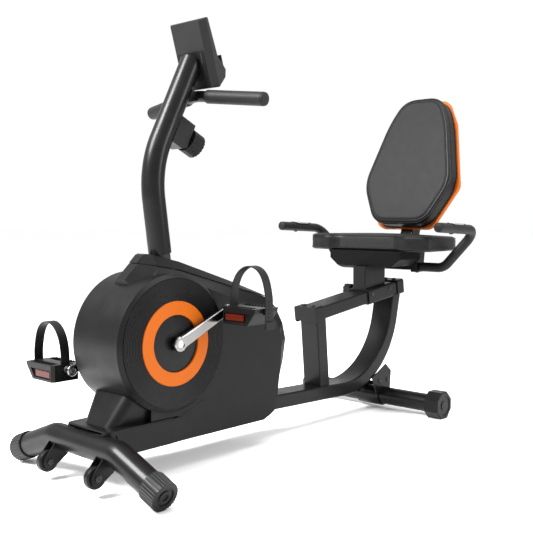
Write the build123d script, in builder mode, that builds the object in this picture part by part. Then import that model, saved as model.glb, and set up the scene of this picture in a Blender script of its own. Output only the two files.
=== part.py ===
from build123d import *
import os
from math import atan2, cos, degrees, hypot, radians, sin

os.makedirs("parts", exist_ok=True)

# Recumbent exercise bike, millimetres.
# +X runs from the front stabiliser to the backrest, +Z is up, y = 0 is the plane of symmetry.
# The floor is z = 0 and the bounding box is centred on x = 0. Most places are given from the crank axle.

CRANK_X = -488.05
CRANK_Z = 310.0
CRANK_LENGTH = 168.0
CRANK_ANGLE = 24.0

DRUM_R = 163.0
DRUM_HALF = 84.0
SIDE_HALF = 75.0
TOP_HALF = 45.0
SHELL_WALL = 3.0
DISC_R = 152.0
DISC_FACE = 95.0
RING_R = 100.0
RING_INNER_R = 67.5
HUB_HOLE_R = 15.0

RAIL_WIDTH = 75.0
RAIL_HEIGHT = 40.0
RAIL_WALL = 2.5
RAIL_SLOPE = -1.7
ARC_R = 250.0
SEAT_RAIL_ANGLE = 7.8
SEAT_RAIL_HEIGHT = 38.0

FOOT_R = 30.0
FOOT_CAP_R = 34.0
FOOT_Y = 277.0
REAR_FOOT_X = 905.0
REAR_FOOT_R = 27.0
OCTAGON_FLAT = 80.0
WHEEL_X = -231.0
WHEEL_Y = 93.0
WHEEL_Z = -266.0
WHEEL_R = 25.0

MAST_R = 28.0
BAR_R = 14.0
GRIP_R = 17.0

FLYWHEEL_X = 285.0
FLYWHEEL_Z = -45.0
FLYWHEEL_R = 105.0
PULLEY_R = 118.0
FLY_PULLEY_R = 17.0
BELT_Y = -39.0
BELT_WIDTH = 12.0
BELT_T = 3.0
AXLE_R = 10.0
FLY_AXLE_R = 6.0
RUN_GAP = 0.05
CLEAR = 0.4

SEAT_BACK_TILT = 18.7
HANDLE_X = 990.0
HANDLE_Z = 137.0
HANDLE_Y = 300.0


def side(y=0.0, x=0.0, z=0.0):
    """Upright plane at depth y: local x is +X, local y is +Z, the normal faces -Y."""
    return Plane(origin=(CRANK_X + x, y, CRANK_Z + z), x_dir=(1, 0, 0), z_dir=(0, -1, 0))


def level(z, x=0.0, y=0.0):
    """Horizontal plane at a height above the crank axle."""
    return Plane(origin=(CRANK_X + x, y, CRANK_Z + z), x_dir=(1, 0, 0), z_dir=(0, 0, 1))


def at(x, y, z):
    """A point given from the crank axle."""
    return (CRANK_X + x, y, CRANK_Z + z)


def along(angle):
    """Unit direction in the XZ plane, angle up from +X."""
    return (cos(radians(angle)), 0, sin(radians(angle)))


def facing(point, direction, x_dir=(0, 1, 0)):
    """Plane through a point with its normal along a direction."""
    return Plane(origin=point, x_dir=x_dir, z_dir=direction)


def tangent_outline(near, near_r, far, far_r):
    """The four corners where the two outer tangents touch two circles."""
    dx = far[0] - near[0]
    dz = far[1] - near[1]
    lean = atan2(dz, dx)
    spread = atan2((hypot(dx, dz) ** 2 - (near_r - far_r) ** 2) ** 0.5, near_r - far_r)
    corners = []
    for turn, circles in ((1, ((near, near_r), (far, far_r))), (-1, ((far, far_r), (near, near_r)))):
        for centre, radius in circles:
            a = lean + turn * spread
            corners.append((centre[0] + radius * cos(a), centre[1] + radius * sin(a)))
    return corners


def rail_z(x):
    """Height of the base rail's centre line."""
    return -214.0 + (x - 395.0) * sin(radians(RAIL_SLOPE)) / cos(radians(RAIL_SLOPE))


def seat_rail_z(x):
    """Height of the seat rail's centre line."""
    return 28.3 + (x - 700.0) * sin(radians(SEAT_RAIL_ANGLE)) / cos(radians(SEAT_RAIL_ANGLE))


# ------------------------------------------------------------------ floor supports

foot_droop = degrees(atan2(60.0, 159.0))
cap_z = -CRANK_Z + FOOT_CAP_R * cos(radians(foot_droop))
foot_mid_z = cap_z + 60.0
foot_x = -188.0
foot_end = 10.0

with BuildPart() as front_stabiliser:
    with BuildLine():
        FilletPolyline(
            at(foot_x, -FOOT_Y + foot_end, cap_z + foot_end * 0.377),
            at(foot_x, -118, foot_mid_z),
            at(foot_x, 118, foot_mid_z),
            at(foot_x, FOOT_Y - foot_end, cap_z + foot_end * 0.377),
            radius=60,
        )
    droop = (0, cos(radians(foot_droop)), sin(radians(foot_droop)))
    with BuildSketch(facing(at(foot_x, -FOOT_Y + foot_end, cap_z + foot_end * 0.377), droop, (1, 0, 0))):
        Circle(FOOT_R)
        Circle(FOOT_R - 2.5, mode=Mode.SUBTRACT)
    sweep()
front_stabiliser.part.label = "front_stabiliser"
export_step(front_stabiliser.part, "parts/front_stabiliser.step")

with BuildPart() as front_foot_caps:
    outward = (0, -cos(radians(foot_droop)), -sin(radians(foot_droop)))
    cap_face = facing(at(foot_x, -FOOT_Y, cap_z), outward, (1, 0, 0))
    with BuildSketch(cap_face):
        Circle(FOOT_CAP_R - 1.5)
    extrude(amount=-48)
    with BuildSketch(cap_face):
        with PolarLocations(FOOT_CAP_R - 2, 30):
            Circle(2.0)
    extrude(amount=-46)
    with BuildSketch(cap_face.offset(-7)):
        Circle(FOOT_R + 0.1)
    extrude(amount=-45, mode=Mode.SUBTRACT)
    with BuildSketch(cap_face):
        Circle(22)
        Circle(15, mode=Mode.SUBTRACT)
        RegularPolygon(9, 6)
    extrude(amount=-2.5, mode=Mode.SUBTRACT)
    mirror(about=Plane.XZ)
front_foot_caps.part.label = "front_foot_caps"
export_step(front_foot_caps.part, "parts/front_foot_caps.step")

with BuildPart() as wheel_brackets:
    for plate_y in (-13.5, 11.0):
        with BuildSketch(side(-WHEEL_Y - plate_y)):
            with Locations((WHEEL_X, WHEEL_Z)):
                Circle(17)
            Polygon(
                (WHEEL_X - 12, WHEEL_Z + 12),
                (-216, -222),
                (-186, -226),
                (-184, -256),
                (WHEEL_X + 9, WHEEL_Z - 14.4),
                align=None,
            )
        extrude(amount=2.5)
    with BuildSketch(side(-WHEEL_Y + 13.5)):
        Polygon((-206, -222), (-186, -226), (-184, -256), (-188, -258), (-203, -240), align=None)
    extrude(amount=27)
    with BuildSketch(side(0, foot_x, foot_mid_z)):
        Circle(FOOT_R)
    extrude(amount=150, both=True, mode=Mode.SUBTRACT)
    with BuildSketch(side(-WHEEL_Y)):
        with Locations((WHEEL_X, WHEEL_Z)):
            Circle(4)
    extrude(amount=40, both=True, mode=Mode.SUBTRACT)
    mirror(about=Plane.XZ)
wheel_brackets.part.label = "wheel_brackets"
export_step(wheel_brackets.part, "parts/wheel_brackets.step")

for hand, sign in (("left", -1), ("right", 1)):
    with BuildPart() as transport_wheel:
        with BuildSketch(side(sign * WHEEL_Y, WHEEL_X, WHEEL_Z)):
            Circle(WHEEL_R)
        extrude(amount=9, both=True)
        fillet(transport_wheel.edges().filter_by(GeomType.CIRCLE), radius=4)
        with BuildSketch(side(sign * WHEEL_Y - 9, WHEEL_X, WHEEL_Z), side(sign * WHEEL_Y + 7, WHEEL_X, WHEEL_Z)):
            Circle(17)
            Circle(8, mode=Mode.SUBTRACT)
        extrude(amount=-2, mode=Mode.SUBTRACT)
        with BuildSketch(side(sign * WHEEL_Y, WHEEL_X, WHEEL_Z)):
            Circle(4 + RUN_GAP)
        extrude(amount=20, both=True, mode=Mode.SUBTRACT)
    transport_wheel.part.label = f"transport_wheel_{hand}"
    export_step(transport_wheel.part, f"parts/transport_wheel_{hand}.step")

with BuildPart() as rear_stabiliser:
    with BuildSketch(side(0, REAR_FOOT_X, -CRANK_Z + OCTAGON_FLAT / 2)):
        Circle(REAR_FOOT_R)
        Circle(REAR_FOOT_R - 2.5, mode=Mode.SUBTRACT)
    extrude(amount=256, both=True)
rear_stabiliser.part.label = "rear_stabiliser"
export_step(rear_stabiliser.part, "parts/rear_stabiliser.step")

with BuildPart() as rear_foot_caps:
    with BuildSketch(side(-264, REAR_FOOT_X, -CRANK_Z + OCTAGON_FLAT / 2)):
        RegularPolygon(OCTAGON_FLAT / 2, 8, major_radius=False, rotation=22.5)
    extrude(amount=-46)
    chamfer(rear_foot_caps.faces().sort_by(Axis.Y)[0].edges(), length=3)
    with BuildSketch(side(-256, REAR_FOOT_X, -CRANK_Z + OCTAGON_FLAT / 2)):
        Circle(REAR_FOOT_R)
    extrude(amount=-50, mode=Mode.SUBTRACT)
    with BuildSketch(side(-264, REAR_FOOT_X, -CRANK_Z + OCTAGON_FLAT / 2)):
        Circle(30)
        Circle(14, mode=Mode.SUBTRACT)
    extrude(amount=-2, mode=Mode.SUBTRACT)
    mirror(about=Plane.XZ)
rear_foot_caps.part.label = "rear_foot_caps"
export_step(rear_foot_caps.part, "parts/rear_foot_caps.step")

# ------------------------------------------------------------------ welded frame

rail_front = (-158.0, rail_z(-158.0))
rail_corner = (920.0, rail_z(920.0))
arc_top = (986.0, seat_rail_z(986.0))

with BuildPart() as base_rail:
    with BuildLine():
        FilletPolyline(at(rail_front[0], 0, rail_front[1]), at(rail_corner[0], 0, rail_corner[1]),
                       at(arc_top[0], 0, arc_top[1]), radius=ARC_R)
    with BuildSketch(facing(at(rail_front[0], 0, rail_front[1]), along(RAIL_SLOPE))):
        RectangleRounded(RAIL_WIDTH, RAIL_HEIGHT, 5)
        RectangleRounded(RAIL_WIDTH - 2 * RAIL_WALL, RAIL_HEIGHT - 2 * RAIL_WALL, 3, mode=Mode.SUBTRACT)
    sweep()
    with BuildSketch(side(0, foot_x, foot_mid_z)):
        Circle(FOOT_R)
    extrude(amount=150, both=True, mode=Mode.SUBTRACT)
    # The front end is notched on top, so it tucks under the plinth.
    with BuildSketch(side(0)):
        Polygon((-230, -186), (-60, -186), (-60, -150), (-230, -150), align=None)
    extrude(amount=80, both=True, mode=Mode.SUBTRACT)
    with BuildSketch(side(0)):
        with Locations(Location((arc_top[0], arc_top[1], 0), (0, 0, SEAT_RAIL_ANGLE))):
            Rectangle(200, SEAT_RAIL_HEIGHT + 0.01)
    extrude(amount=80, both=True, mode=Mode.SUBTRACT)
base_rail.part.label = "base_rail"
export_step(base_rail.part, "parts/base_rail.step")

upright_top = (606.0, seat_rail_z(606.0))
upright_foot = (627.0, rail_z(627.0))
upright_lean = degrees(atan2(upright_top[1] - upright_foot[1], upright_top[0] - upright_foot[0]))

with BuildPart() as seat_upright:
    with BuildSketch(facing(at(upright_foot[0], 0, upright_foot[1]), along(upright_lean))):
        RectangleRounded(66, 41, 4)
        RectangleRounded(61, 36, 2.5, mode=Mode.SUBTRACT)
    extrude(amount=hypot(upright_top[0] - upright_foot[0], upright_top[1] - upright_foot[1]))
    with BuildSketch(side(0)):
        with Locations(Location((upright_top[0], upright_top[1], 0), (0, 0, SEAT_RAIL_ANGLE))):
            Rectangle(200, SEAT_RAIL_HEIGHT)
        with Locations(Location((upright_foot[0], upright_foot[1], 0), (0, 0, RAIL_SLOPE))):
            Rectangle(200, RAIL_HEIGHT)
    extrude(amount=80, both=True, mode=Mode.SUBTRACT)
seat_upright.part.label = "seat_upright"
export_step(seat_upright.part, "parts/seat_upright.step")

seat_rail_start = 578.0
seat_rail_end = 1008.0
seat_rail_plane = facing(at(seat_rail_start, 0, seat_rail_z(seat_rail_start)), along(SEAT_RAIL_ANGLE))
seat_rail_length = (seat_rail_end - seat_rail_start) / cos(radians(SEAT_RAIL_ANGLE))
lock_pitch = 25.0
lock_x = 877.0

with BuildPart() as seat_rail:
    with BuildSketch(seat_rail_plane):
        RectangleRounded(RAIL_WIDTH, SEAT_RAIL_HEIGHT, 4)
        RectangleRounded(RAIL_WIDTH - 5, SEAT_RAIL_HEIGHT - 5, 2.5, mode=Mode.SUBTRACT)
    extrude(amount=seat_rail_length)
    with BuildSketch(side(RAIL_WIDTH / 2 + 5)):
        for step in range(9):
            hole_x = lock_x - lock_pitch * step * cos(radians(SEAT_RAIL_ANGLE))
            with Locations((hole_x, seat_rail_z(hole_x) + 9)):
                Circle(5.5)
    extrude(amount=20, mode=Mode.SUBTRACT)
seat_rail.part.label = "seat_rail"
export_step(seat_rail.part, "parts/seat_rail.step")

with BuildPart() as seat_rail_caps:
    for start, length in ((-6.0, 34.0), (seat_rail_length - 28.0, 34.0)):
        with BuildSketch(seat_rail_plane.offset(start)):
            RectangleRounded(RAIL_WIDTH + 7, SEAT_RAIL_HEIGHT + 9, 6)
        extrude(amount=length)
    with BuildSketch(seat_rail_plane):
        RectangleRounded(RAIL_WIDTH, SEAT_RAIL_HEIGHT, 4)
    extrude(amount=seat_rail_length, mode=Mode.SUBTRACT)
    with BuildSketch(side(0)):
        with Locations(Location((arc_top[0] - 4, arc_top[1] - 60, 0), (0, 0, SEAT_RAIL_ANGLE))):
            Rectangle(66, 120 - SEAT_RAIL_HEIGHT)
    extrude(amount=RAIL_WIDTH / 2 + 0.2, both=True, mode=Mode.SUBTRACT)
    with BuildSketch(side(0)):
        Polygon((587, -60), (560, seat_rail_z(578) - 19), (632, seat_rail_z(632) - 19), (636, -60), align=None)
    extrude(amount=33.2, both=True, mode=Mode.SUBTRACT)
seat_rail_caps.part.label = "seat_rail_caps"
export_step(seat_rail_caps.part, "parts/seat_rail_caps.step")

rear_foot_z = -CRANK_Z + OCTAGON_FLAT / 2

with BuildPart() as rear_gusset:
    with BuildSketch(side(0)):
        Polygon((846, -206), (870, -262), (REAR_FOOT_X, rear_foot_z), (940, -262), (946, -196),
                (918, -172), (880, -192), align=None)
        with Locations((REAR_FOOT_X, rear_foot_z)):
            Circle(REAR_FOOT_R + 5)
    extrude(amount=RAIL_WIDTH / 2 + 4, both=True)
    with BuildSketch(side(0)):
        with Locations((REAR_FOOT_X, rear_foot_z)):
            Circle(REAR_FOOT_R)
    extrude(amount=80, both=True, mode=Mode.SUBTRACT)
    with BuildSketch(side(0)):
        Polygon((840, -200), (862, -262), (REAR_FOOT_X, rear_foot_z), (936, -262), (955, -190),
                (918, -160), align=None)
        with Locations((REAR_FOOT_X, rear_foot_z)):
            Circle(REAR_FOOT_R + 1)
    extrude(amount=RAIL_WIDTH / 2, both=True, mode=Mode.SUBTRACT)
rear_gusset.part.label = "rear_gusset"
export_step(rear_gusset.part, "parts/rear_gusset.step")

# ------------------------------------------------------------------ mast socket and drive brackets

mast_foot = (31.6, 207.0)
mast_lean = degrees(atan2(335.0 - 207.0, 14.0 - 31.6))
socket_r = 24.5


def mast_point(distance):
    """A point on the lower mast axis, measured up from the mast's bottom edge."""
    return (mast_foot[0] + distance * cos(radians(mast_lean)), mast_foot[1] + distance * sin(radians(mast_lean)))


socket_foot = mast_point(-390)
with BuildPart() as mast_socket:
    with BuildSketch(facing(at(socket_foot[0], 0, socket_foot[1]), along(mast_lean))):
        Circle(socket_r)
        Circle(socket_r - 3, mode=Mode.SUBTRACT)
    extrude(amount=480)
    with BuildSketch(side(0)):
        with Locations(Location((85, rail_z(85), 0), (0, 0, RAIL_SLOPE))):
            Rectangle(200, RAIL_HEIGHT)
    extrude(amount=80, both=True, mode=Mode.SUBTRACT)
mast_socket.part.label = "mast_socket"
export_step(mast_socket.part, "parts/mast_socket.step")

pivot = (205.0, 52.0)
idler_x = 196.0
idler_r = 14.0
belt_lean = degrees(atan2(FLYWHEEL_Z, FLYWHEEL_X))
belt_corners = tangent_outline((0, 0), PULLEY_R + CLEAR, (FLYWHEEL_X, FLYWHEEL_Z), FLY_PULLEY_R + CLEAR)
belt_low_a = belt_corners[3]
belt_low_b = belt_corners[2]
belt_low_angle = atan2(belt_low_b[1] - belt_low_a[1], belt_low_b[0] - belt_low_a[0])
belt_low_share = (idler_x - belt_low_a[0]) / (belt_low_b[0] - belt_low_a[0])
idler = (
    idler_x + (idler_r + BELT_T + CLEAR) * sin(belt_low_angle),
    belt_low_a[1] + belt_low_share * (belt_low_b[1] - belt_low_a[1])
    - (idler_r + BELT_T + CLEAR) * cos(belt_low_angle),
)

with BuildPart() as drive_brackets:
    with BuildSketch(side(0)):
        Circle(20)
        Circle(17, mode=Mode.SUBTRACT)
    extrude(amount=28, both=True)
    with BuildSketch(side(25), side(-22)):
        Circle(24)
        Polygon((0, 24), (70, 24), (78, -60), (50, -60), (0, -24), align=None)
        Circle(20, mode=Mode.SUBTRACT)
    extrude(amount=3)
    with BuildSketch(facing(at(socket_foot[0], 0, socket_foot[1]), along(mast_lean))):
        Circle(socket_r)
    extrude(amount=480, mode=Mode.SUBTRACT)
    with BuildSketch(side(-54), side(28)):
        Polygon((pivot[0] - 12, pivot[1]), (pivot[0], pivot[1] + 12), (pivot[0] + 12, pivot[1]),
                (FLYWHEEL_X + 20, FLYWHEEL_Z + 12), (FLYWHEEL_X + 40, rail_z(325)), (180, rail_z(180)),
                (idler[0] - 18, idler[1]), align=None)
        with Locations(pivot):
            Circle(4 + RUN_GAP, mode=Mode.SUBTRACT)
        with Locations((FLYWHEEL_X, FLYWHEEL_Z)):
            Circle(FLY_AXLE_R, mode=Mode.SUBTRACT)
    extrude(amount=4)
    with BuildSketch(side(-RAIL_WIDTH / 2)):
        Polygon((186, rail_z(186) + 20), (186, rail_z(186) + 6), (320, rail_z(320) + 6),
                (320, rail_z(320) + 20), align=None)
    extrude(amount=58 - RAIL_WIDTH / 2)
    with BuildSketch(side(-30, idler[0], idler[1])):
        Circle(5)
    extrude(amount=26)
    with BuildSketch(side(-29, idler[0], idler[1])):
        Circle(9)
    extrude(amount=3)
    with BuildSketch(facing(at(rail_front[0], 0, rail_front[1]), along(RAIL_SLOPE))):
        Rectangle(RAIL_WIDTH, RAIL_HEIGHT)
    extrude(amount=700, mode=Mode.SUBTRACT)
drive_brackets.part.label = "drive_brackets"
export_step(drive_brackets.part, "parts/drive_brackets.step")

# ------------------------------------------------------------------ drive train

with BuildPart() as bearings:
    with BuildSketch(side(28), side(-19)):
        Circle(17)
        Circle(AXLE_R + RUN_GAP, mode=Mode.SUBTRACT)
    extrude(amount=9)
    with BuildSketch(side(6, FLYWHEEL_X, FLYWHEEL_Z), side(-6, FLYWHEEL_X, FLYWHEEL_Z)):
        Circle(13)
        Circle(FLY_AXLE_R, mode=Mode.SUBTRACT)
    extrude(amount=8)
bearings.part.label = "bearings"
export_step(bearings.part, "parts/bearings.step")

with BuildPart() as crank_axle:
    with BuildSketch(side(0)):
        Circle(AXLE_R)
    extrude(amount=112, both=True)
    with BuildSketch(side(-28 - CLEAR)):
        Circle(16)
    extrude(amount=3.5)
crank_axle.part.label = "crank_axle"
export_step(crank_axle.part, "parts/crank_axle.step")

with BuildPart() as crank_pulley:
    with BuildSketch(side(BELT_Y + BELT_WIDTH / 2 + 1)):
        Circle(PULLEY_R + 4)
        Circle(AXLE_R, mode=Mode.SUBTRACT)
        with PolarLocations(66, 6):
            Circle(22, mode=Mode.SUBTRACT)
    extrude(amount=BELT_WIDTH + 2)
    with BuildSketch(side(BELT_Y + BELT_WIDTH / 2 + CLEAR)):
        Circle(PULLEY_R + 5)
        Circle(PULLEY_R, mode=Mode.SUBTRACT)
    extrude(amount=BELT_WIDTH + 2 * CLEAR, mode=Mode.SUBTRACT)
    with BuildSketch(side(BELT_Y - BELT_WIDTH / 2 - 1)):
        Circle(24)
        Circle(AXLE_R, mode=Mode.SUBTRACT)
    extrude(amount=10)
crank_pulley.part.label = "crank_pulley"
export_step(crank_pulley.part, "parts/crank_pulley.step")

with BuildPart() as drive_belt:
    for grow, mode in ((BELT_T, Mode.ADD), (0.0, Mode.SUBTRACT)):
        with BuildSketch(side(BELT_Y + BELT_WIDTH / 2)):
            Circle(PULLEY_R + CLEAR + grow)
            with Locations((FLYWHEEL_X, FLYWHEEL_Z)):
                Circle(FLY_PULLEY_R + CLEAR + grow)
            Polygon(*tangent_outline((0, 0), PULLEY_R + CLEAR + grow,
                                     (FLYWHEEL_X, FLYWHEEL_Z), FLY_PULLEY_R + CLEAR + grow), align=None)
        extrude(amount=BELT_WIDTH, mode=mode)
drive_belt.part.label = "drive_belt"
export_step(drive_belt.part, "parts/drive_belt.step")

with BuildPart() as flywheel:
    with BuildSketch(side(10, FLYWHEEL_X, FLYWHEEL_Z)):
        Circle(FLYWHEEL_R)
    extrude(amount=24)
    with BuildSketch(side(10, FLYWHEEL_X, FLYWHEEL_Z), side(-6, FLYWHEEL_X, FLYWHEEL_Z)):
        Circle(FLYWHEEL_R - 22)
        Circle(26, mode=Mode.SUBTRACT)
    extrude(amount=8, mode=Mode.SUBTRACT)
    with BuildSketch(side(-14, FLYWHEEL_X, FLYWHEEL_Z)):
        Circle(FLY_PULLEY_R - 2)
    extrude(amount=34)
    with BuildSketch(side(BELT_Y + BELT_WIDTH / 2 + 2, FLYWHEEL_X, FLYWHEEL_Z)):
        Circle(FLY_PULLEY_R + 3)
    extrude(amount=BELT_WIDTH + 4)
    with BuildSketch(side(BELT_Y + BELT_WIDTH / 2 + CLEAR, FLYWHEEL_X, FLYWHEEL_Z)):
        Circle(FLY_PULLEY_R + 5)
        Circle(FLY_PULLEY_R, mode=Mode.SUBTRACT)
    extrude(amount=BELT_WIDTH + 2 * CLEAR, mode=Mode.SUBTRACT)
    with BuildSketch(side(12, FLYWHEEL_X, FLYWHEEL_Z)):
        Circle(13 + RUN_GAP)
    extrude(amount=28, mode=Mode.SUBTRACT)
    with BuildSketch(side(0, FLYWHEEL_X, FLYWHEEL_Z)):
        Circle(FLY_AXLE_R + 1)
    extrude(amount=60, mode=Mode.SUBTRACT)
flywheel.part.label = "flywheel"
export_step(flywheel.part, "parts/flywheel.step")

with BuildPart() as flywheel_axle:
    with BuildSketch(side(36, FLYWHEEL_X, FLYWHEEL_Z)):
        Circle(FLY_AXLE_R)
    extrude(amount=102)
    with BuildSketch(side(34, FLYWHEEL_X, FLYWHEEL_Z), side(-58, FLYWHEEL_X, FLYWHEEL_Z)):
        RegularPolygon(10, 6)
    extrude(amount=6)
flywheel_axle.part.label = "flywheel_axle"
export_step(flywheel_axle.part, "parts/flywheel_axle.step")

with BuildPart() as idler_wheel:
    with BuildSketch(side(BELT_Y + BELT_WIDTH / 2, idler[0], idler[1])):
        Circle(idler_r)
        Circle(5 + RUN_GAP, mode=Mode.SUBTRACT)
    extrude(amount=BELT_WIDTH)
idler_wheel.part.label = "idler_wheel"
export_step(idler_wheel.part, "parts/idler_wheel.step")

with BuildPart() as magnet_bracket:
    magnet_gap = 4.0
    with BuildSketch(side(12)):
        with Locations((FLYWHEEL_X, FLYWHEEL_Z)):
            Circle(FLYWHEEL_R + magnet_gap + 9)
            Circle(FLYWHEEL_R + magnet_gap, mode=Mode.SUBTRACT)
        with Locations((FLYWHEEL_X, FLYWHEEL_Z)):
            Polygon((0, 0), (170, 150), (-130, 178), align=None, mode=Mode.INTERSECT)
        with Locations(pivot):
            Circle(9)
        Polygon((pivot[0] - 6, pivot[1] + 7), (pivot[0] + 6, pivot[1] - 6), (232, 56), (236, 64), align=None)
        with Locations((FLYWHEEL_X, FLYWHEEL_Z)):
            Circle(FLYWHEEL_R + magnet_gap, mode=Mode.SUBTRACT)
    extrude(amount=28)
    with BuildSketch(side(30, pivot[0], pivot[1])):
        Circle(4)
    extrude(amount=90)
magnet_bracket.part.label = "magnet_bracket"
export_step(magnet_bracket.part, "parts/magnet_bracket.step")

# ------------------------------------------------------------------ housing

# Middle profile of the body, at the top bevel's inner edge, and the side profile at the flat side.
body_middle = [
    (-60, -178), (20, -178), (20, -240), (320, -240), (346, -231), (372, -224), (398, -180), (425, -100),
    (436, -40), (424, 5), (395, 52), (362, 80), (229, 116), (60, 165), (-50, 186), (-88, 150), (-60, 60),
]
body_side = [
    (-60, -178), (20, -178), (20, -240), (318, -240), (340, -232), (360, -222), (372, -180), (384, -100),
    (388, -40), (381, -5), (360, 28), (327, 49), (205, 92), (60, 140), (-15, 150), (-40, 120), (-60, 60),
]
drum_lip_y = 93.0
drum_lip_r = DISC_R + 2.0
hub_open_r = 24.0
nose_rise = (0.726, 0, 0.688)
drum_plane = Plane(origin=at(0, 0, 0), x_dir=(0, 1, 0), z_dir=(1, 0, 0))
crank_line = Axis(at(0, 0, 0), (0, 1, 0))


def nose_cut(inset):
    """Plan of the corner cut off the raised nose, 100 mm above the crank axle."""
    return [
        (-190, -15 + inset), (-141 + inset, -15 + inset), (-97 + 1.5 * inset, -52 + inset),
        (-97 + 1.5 * inset, -110), (-190, -110),
    ]


def body_half(inset):
    """Left half of the body as a solid, every wall moved in by the inset."""
    with BuildPart() as body:
        with BuildSketch(side(0)):
            Polygon(*body_middle, align=None)
            if inset:
                offset(amount=-inset, kind=Kind.INTERSECTION)
        extrude(amount=TOP_HALF - inset)
        with BuildSketch(side(-TOP_HALF + inset)):
            Polygon(*body_middle, align=None)
            if inset:
                offset(amount=-inset, kind=Kind.INTERSECTION)
        with BuildSketch(side(-SIDE_HALF + inset)):
            Polygon(*body_side, align=None)
            if inset:
                offset(amount=-inset, kind=Kind.INTERSECTION)
        loft(ruled=True)
        with BuildSketch(level(100)):
            Polygon(*nose_cut(inset), align=None)
        extrude(amount=170, dir=nose_rise, mode=Mode.SUBTRACT)
    return body.part


body_outer = body_half(0)
body_inner = body_half(SHELL_WALL)

with BuildPart() as housing_left:
    add(body_outer)
    with BuildSketch(drum_plane):
        Polygon((0, 0), (0, DRUM_R), (-DRUM_HALF, DRUM_R), (-drum_lip_y, drum_lip_r),
                (-drum_lip_y, DISC_R + 0.5), (-DRUM_HALF, DISC_R + 0.5), (-DRUM_HALF, 0), align=None)
    revolve(axis=crank_line)
    add(body_inner, mode=Mode.SUBTRACT)
    with BuildSketch(drum_plane):
        Rectangle(DRUM_HALF - SHELL_WALL, DRUM_R - SHELL_WALL, align=(Align.MAX, Align.MIN))
    revolve(axis=crank_line, mode=Mode.SUBTRACT)
    with BuildSketch(side(0)):
        Circle(hub_open_r)
    extrude(amount=100, mode=Mode.SUBTRACT)
    with BuildSketch(side(1)):
        Polygon((-70, rail_z(-70) - 21), (-70, rail_z(-70) + 21), (460, rail_z(460) + 21),
                (460, rail_z(460) - 21), align=None)
    extrude(amount=RAIL_WIDTH / 2 + 2, mode=Mode.SUBTRACT)
    with BuildSketch(facing(at(mast_foot[0], 0, mast_foot[1]), along(mast_lean))):
        Circle(socket_r + 10)
    extrude(amount=-110, mode=Mode.SUBTRACT)
housing_left.part.label = "housing_left"
export_step(housing_left.part, "parts/housing_left.step")

with BuildPart() as housing_right:
    mirror(housing_left.part, about=Plane.XZ)
housing_right.part.label = "housing_right"
export_step(housing_right.part, "parts/housing_right.step")

cover_flat = 28.0
cover_middle = [
    (-51, 187.5), (60, 166.5), (229, 117.5), (358, 83), (360, 88), (229, 134), (66, 187), (-24, 208),
    (-32, 205.5),
]
cover_edge = [
    (-51, 187.5), (60, 166.5), (229, 117.5), (358, 83), (358.2, 84.2), (229, 118.7), (66, 166),
    (-24, 183.6), (-32, 185.1),
]
cover_hollow = [(-12, 176), (60, 163), (229, 114), (362, 78), (352, 83), (229, 129.5), (66, 182.5), (-8, 200)]

with BuildPart() as top_cover:
    with BuildSketch(side(0)):
        Polygon(*cover_middle, align=None)
    extrude(amount=cover_flat)
    with BuildSketch(side(-cover_flat)):
        Polygon(*cover_middle, align=None)
    with BuildSketch(side(-TOP_HALF)):
        Polygon(*cover_edge, align=None)
    loft(ruled=True)
    with BuildSketch(side(0)):
        Polygon(*cover_hollow, align=None)
    extrude(amount=cover_flat - 2, mode=Mode.SUBTRACT)
    with BuildSketch(level(100)):
        Polygon(*nose_cut(0), align=None)
    extrude(amount=170, dir=nose_rise, mode=Mode.SUBTRACT)
    mirror(about=Plane.XZ)
    with BuildSketch(facing(at(mast_foot[0], 0, mast_foot[1]), along(mast_lean))):
        Circle(socket_r + 1)
    extrude(amount=60, both=True, mode=Mode.SUBTRACT)
    with BuildSketch(facing(at(mast_foot[0], 0, mast_foot[1]), along(mast_lean))):
        Circle(MAST_R + 0.3)
    extrude(amount=60, mode=Mode.SUBTRACT)
top_cover.part.label = "top_cover"
export_step(top_cover.part, "parts/top_cover.step")

plinth_half = 78.0
plinth_outline = [(-194, -190), (-186, -180), (-36, -179), (19, -179), (19, -240), (-146, -240), (-160, -190)]

with BuildPart() as base_skirt:
    with BuildSketch(level(-240)):
        with Locations((-87.5, 0)):
            RectangleRounded(213, 2 * plinth_half, 22)
    extrude(amount=62)
    with BuildSketch(side(0)):
        Polygon(*plinth_outline, align=None)
    extrude(amount=100, both=True, mode=Mode.INTERSECT)
    with BuildSketch(level(-180, -101)):
        RectangleRounded(124, 116, 30)
    with BuildSketch(level(-100, -58)):
        RectangleRounded(110, 152, 30)
    loft()
    with BuildSketch(level(-243)):
        with Locations((-87.5, 0)):
            RectangleRounded(213 - 2 * SHELL_WALL, 2 * (plinth_half - SHELL_WALL), 19)
    extrude(amount=60, mode=Mode.SUBTRACT)
    with BuildSketch(level(-184, -99)):
        RectangleRounded(118, 110, 27)
    with BuildSketch(level(-97, -57)):
        RectangleRounded(106, 146, 27)
    loft(mode=Mode.SUBTRACT)
    with BuildSketch(side(0)):
        Circle(DRUM_R + 0.4)
    extrude(amount=100, both=True, mode=Mode.SUBTRACT)
    with BuildSketch(side(0)):
        Polygon((-60.4, -178.4), (-60.4, 0), (100, 0), (100, -178.4), align=None)
    extrude(amount=100, both=True, mode=Mode.SUBTRACT)
    with BuildSketch(side(0)):
        with Locations((foot_x, foot_mid_z)):
            Circle(FOOT_R + 0.3)
    extrude(amount=100, both=True, mode=Mode.SUBTRACT)
    with BuildSketch(side(0)):
        Polygon((-200, rail_z(-200) - 21), (-200, -185.5), (-61, -185.5), (-61, rail_z(-61) + 21),
                (60, rail_z(60) + 21), (60, rail_z(60) - 21), align=None)
    extrude(amount=RAIL_WIDTH / 2 + 1, both=True, mode=Mode.SUBTRACT)
base_skirt.part.label = "base_skirt"
export_step(base_skirt.part, "parts/base_skirt.step")

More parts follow.
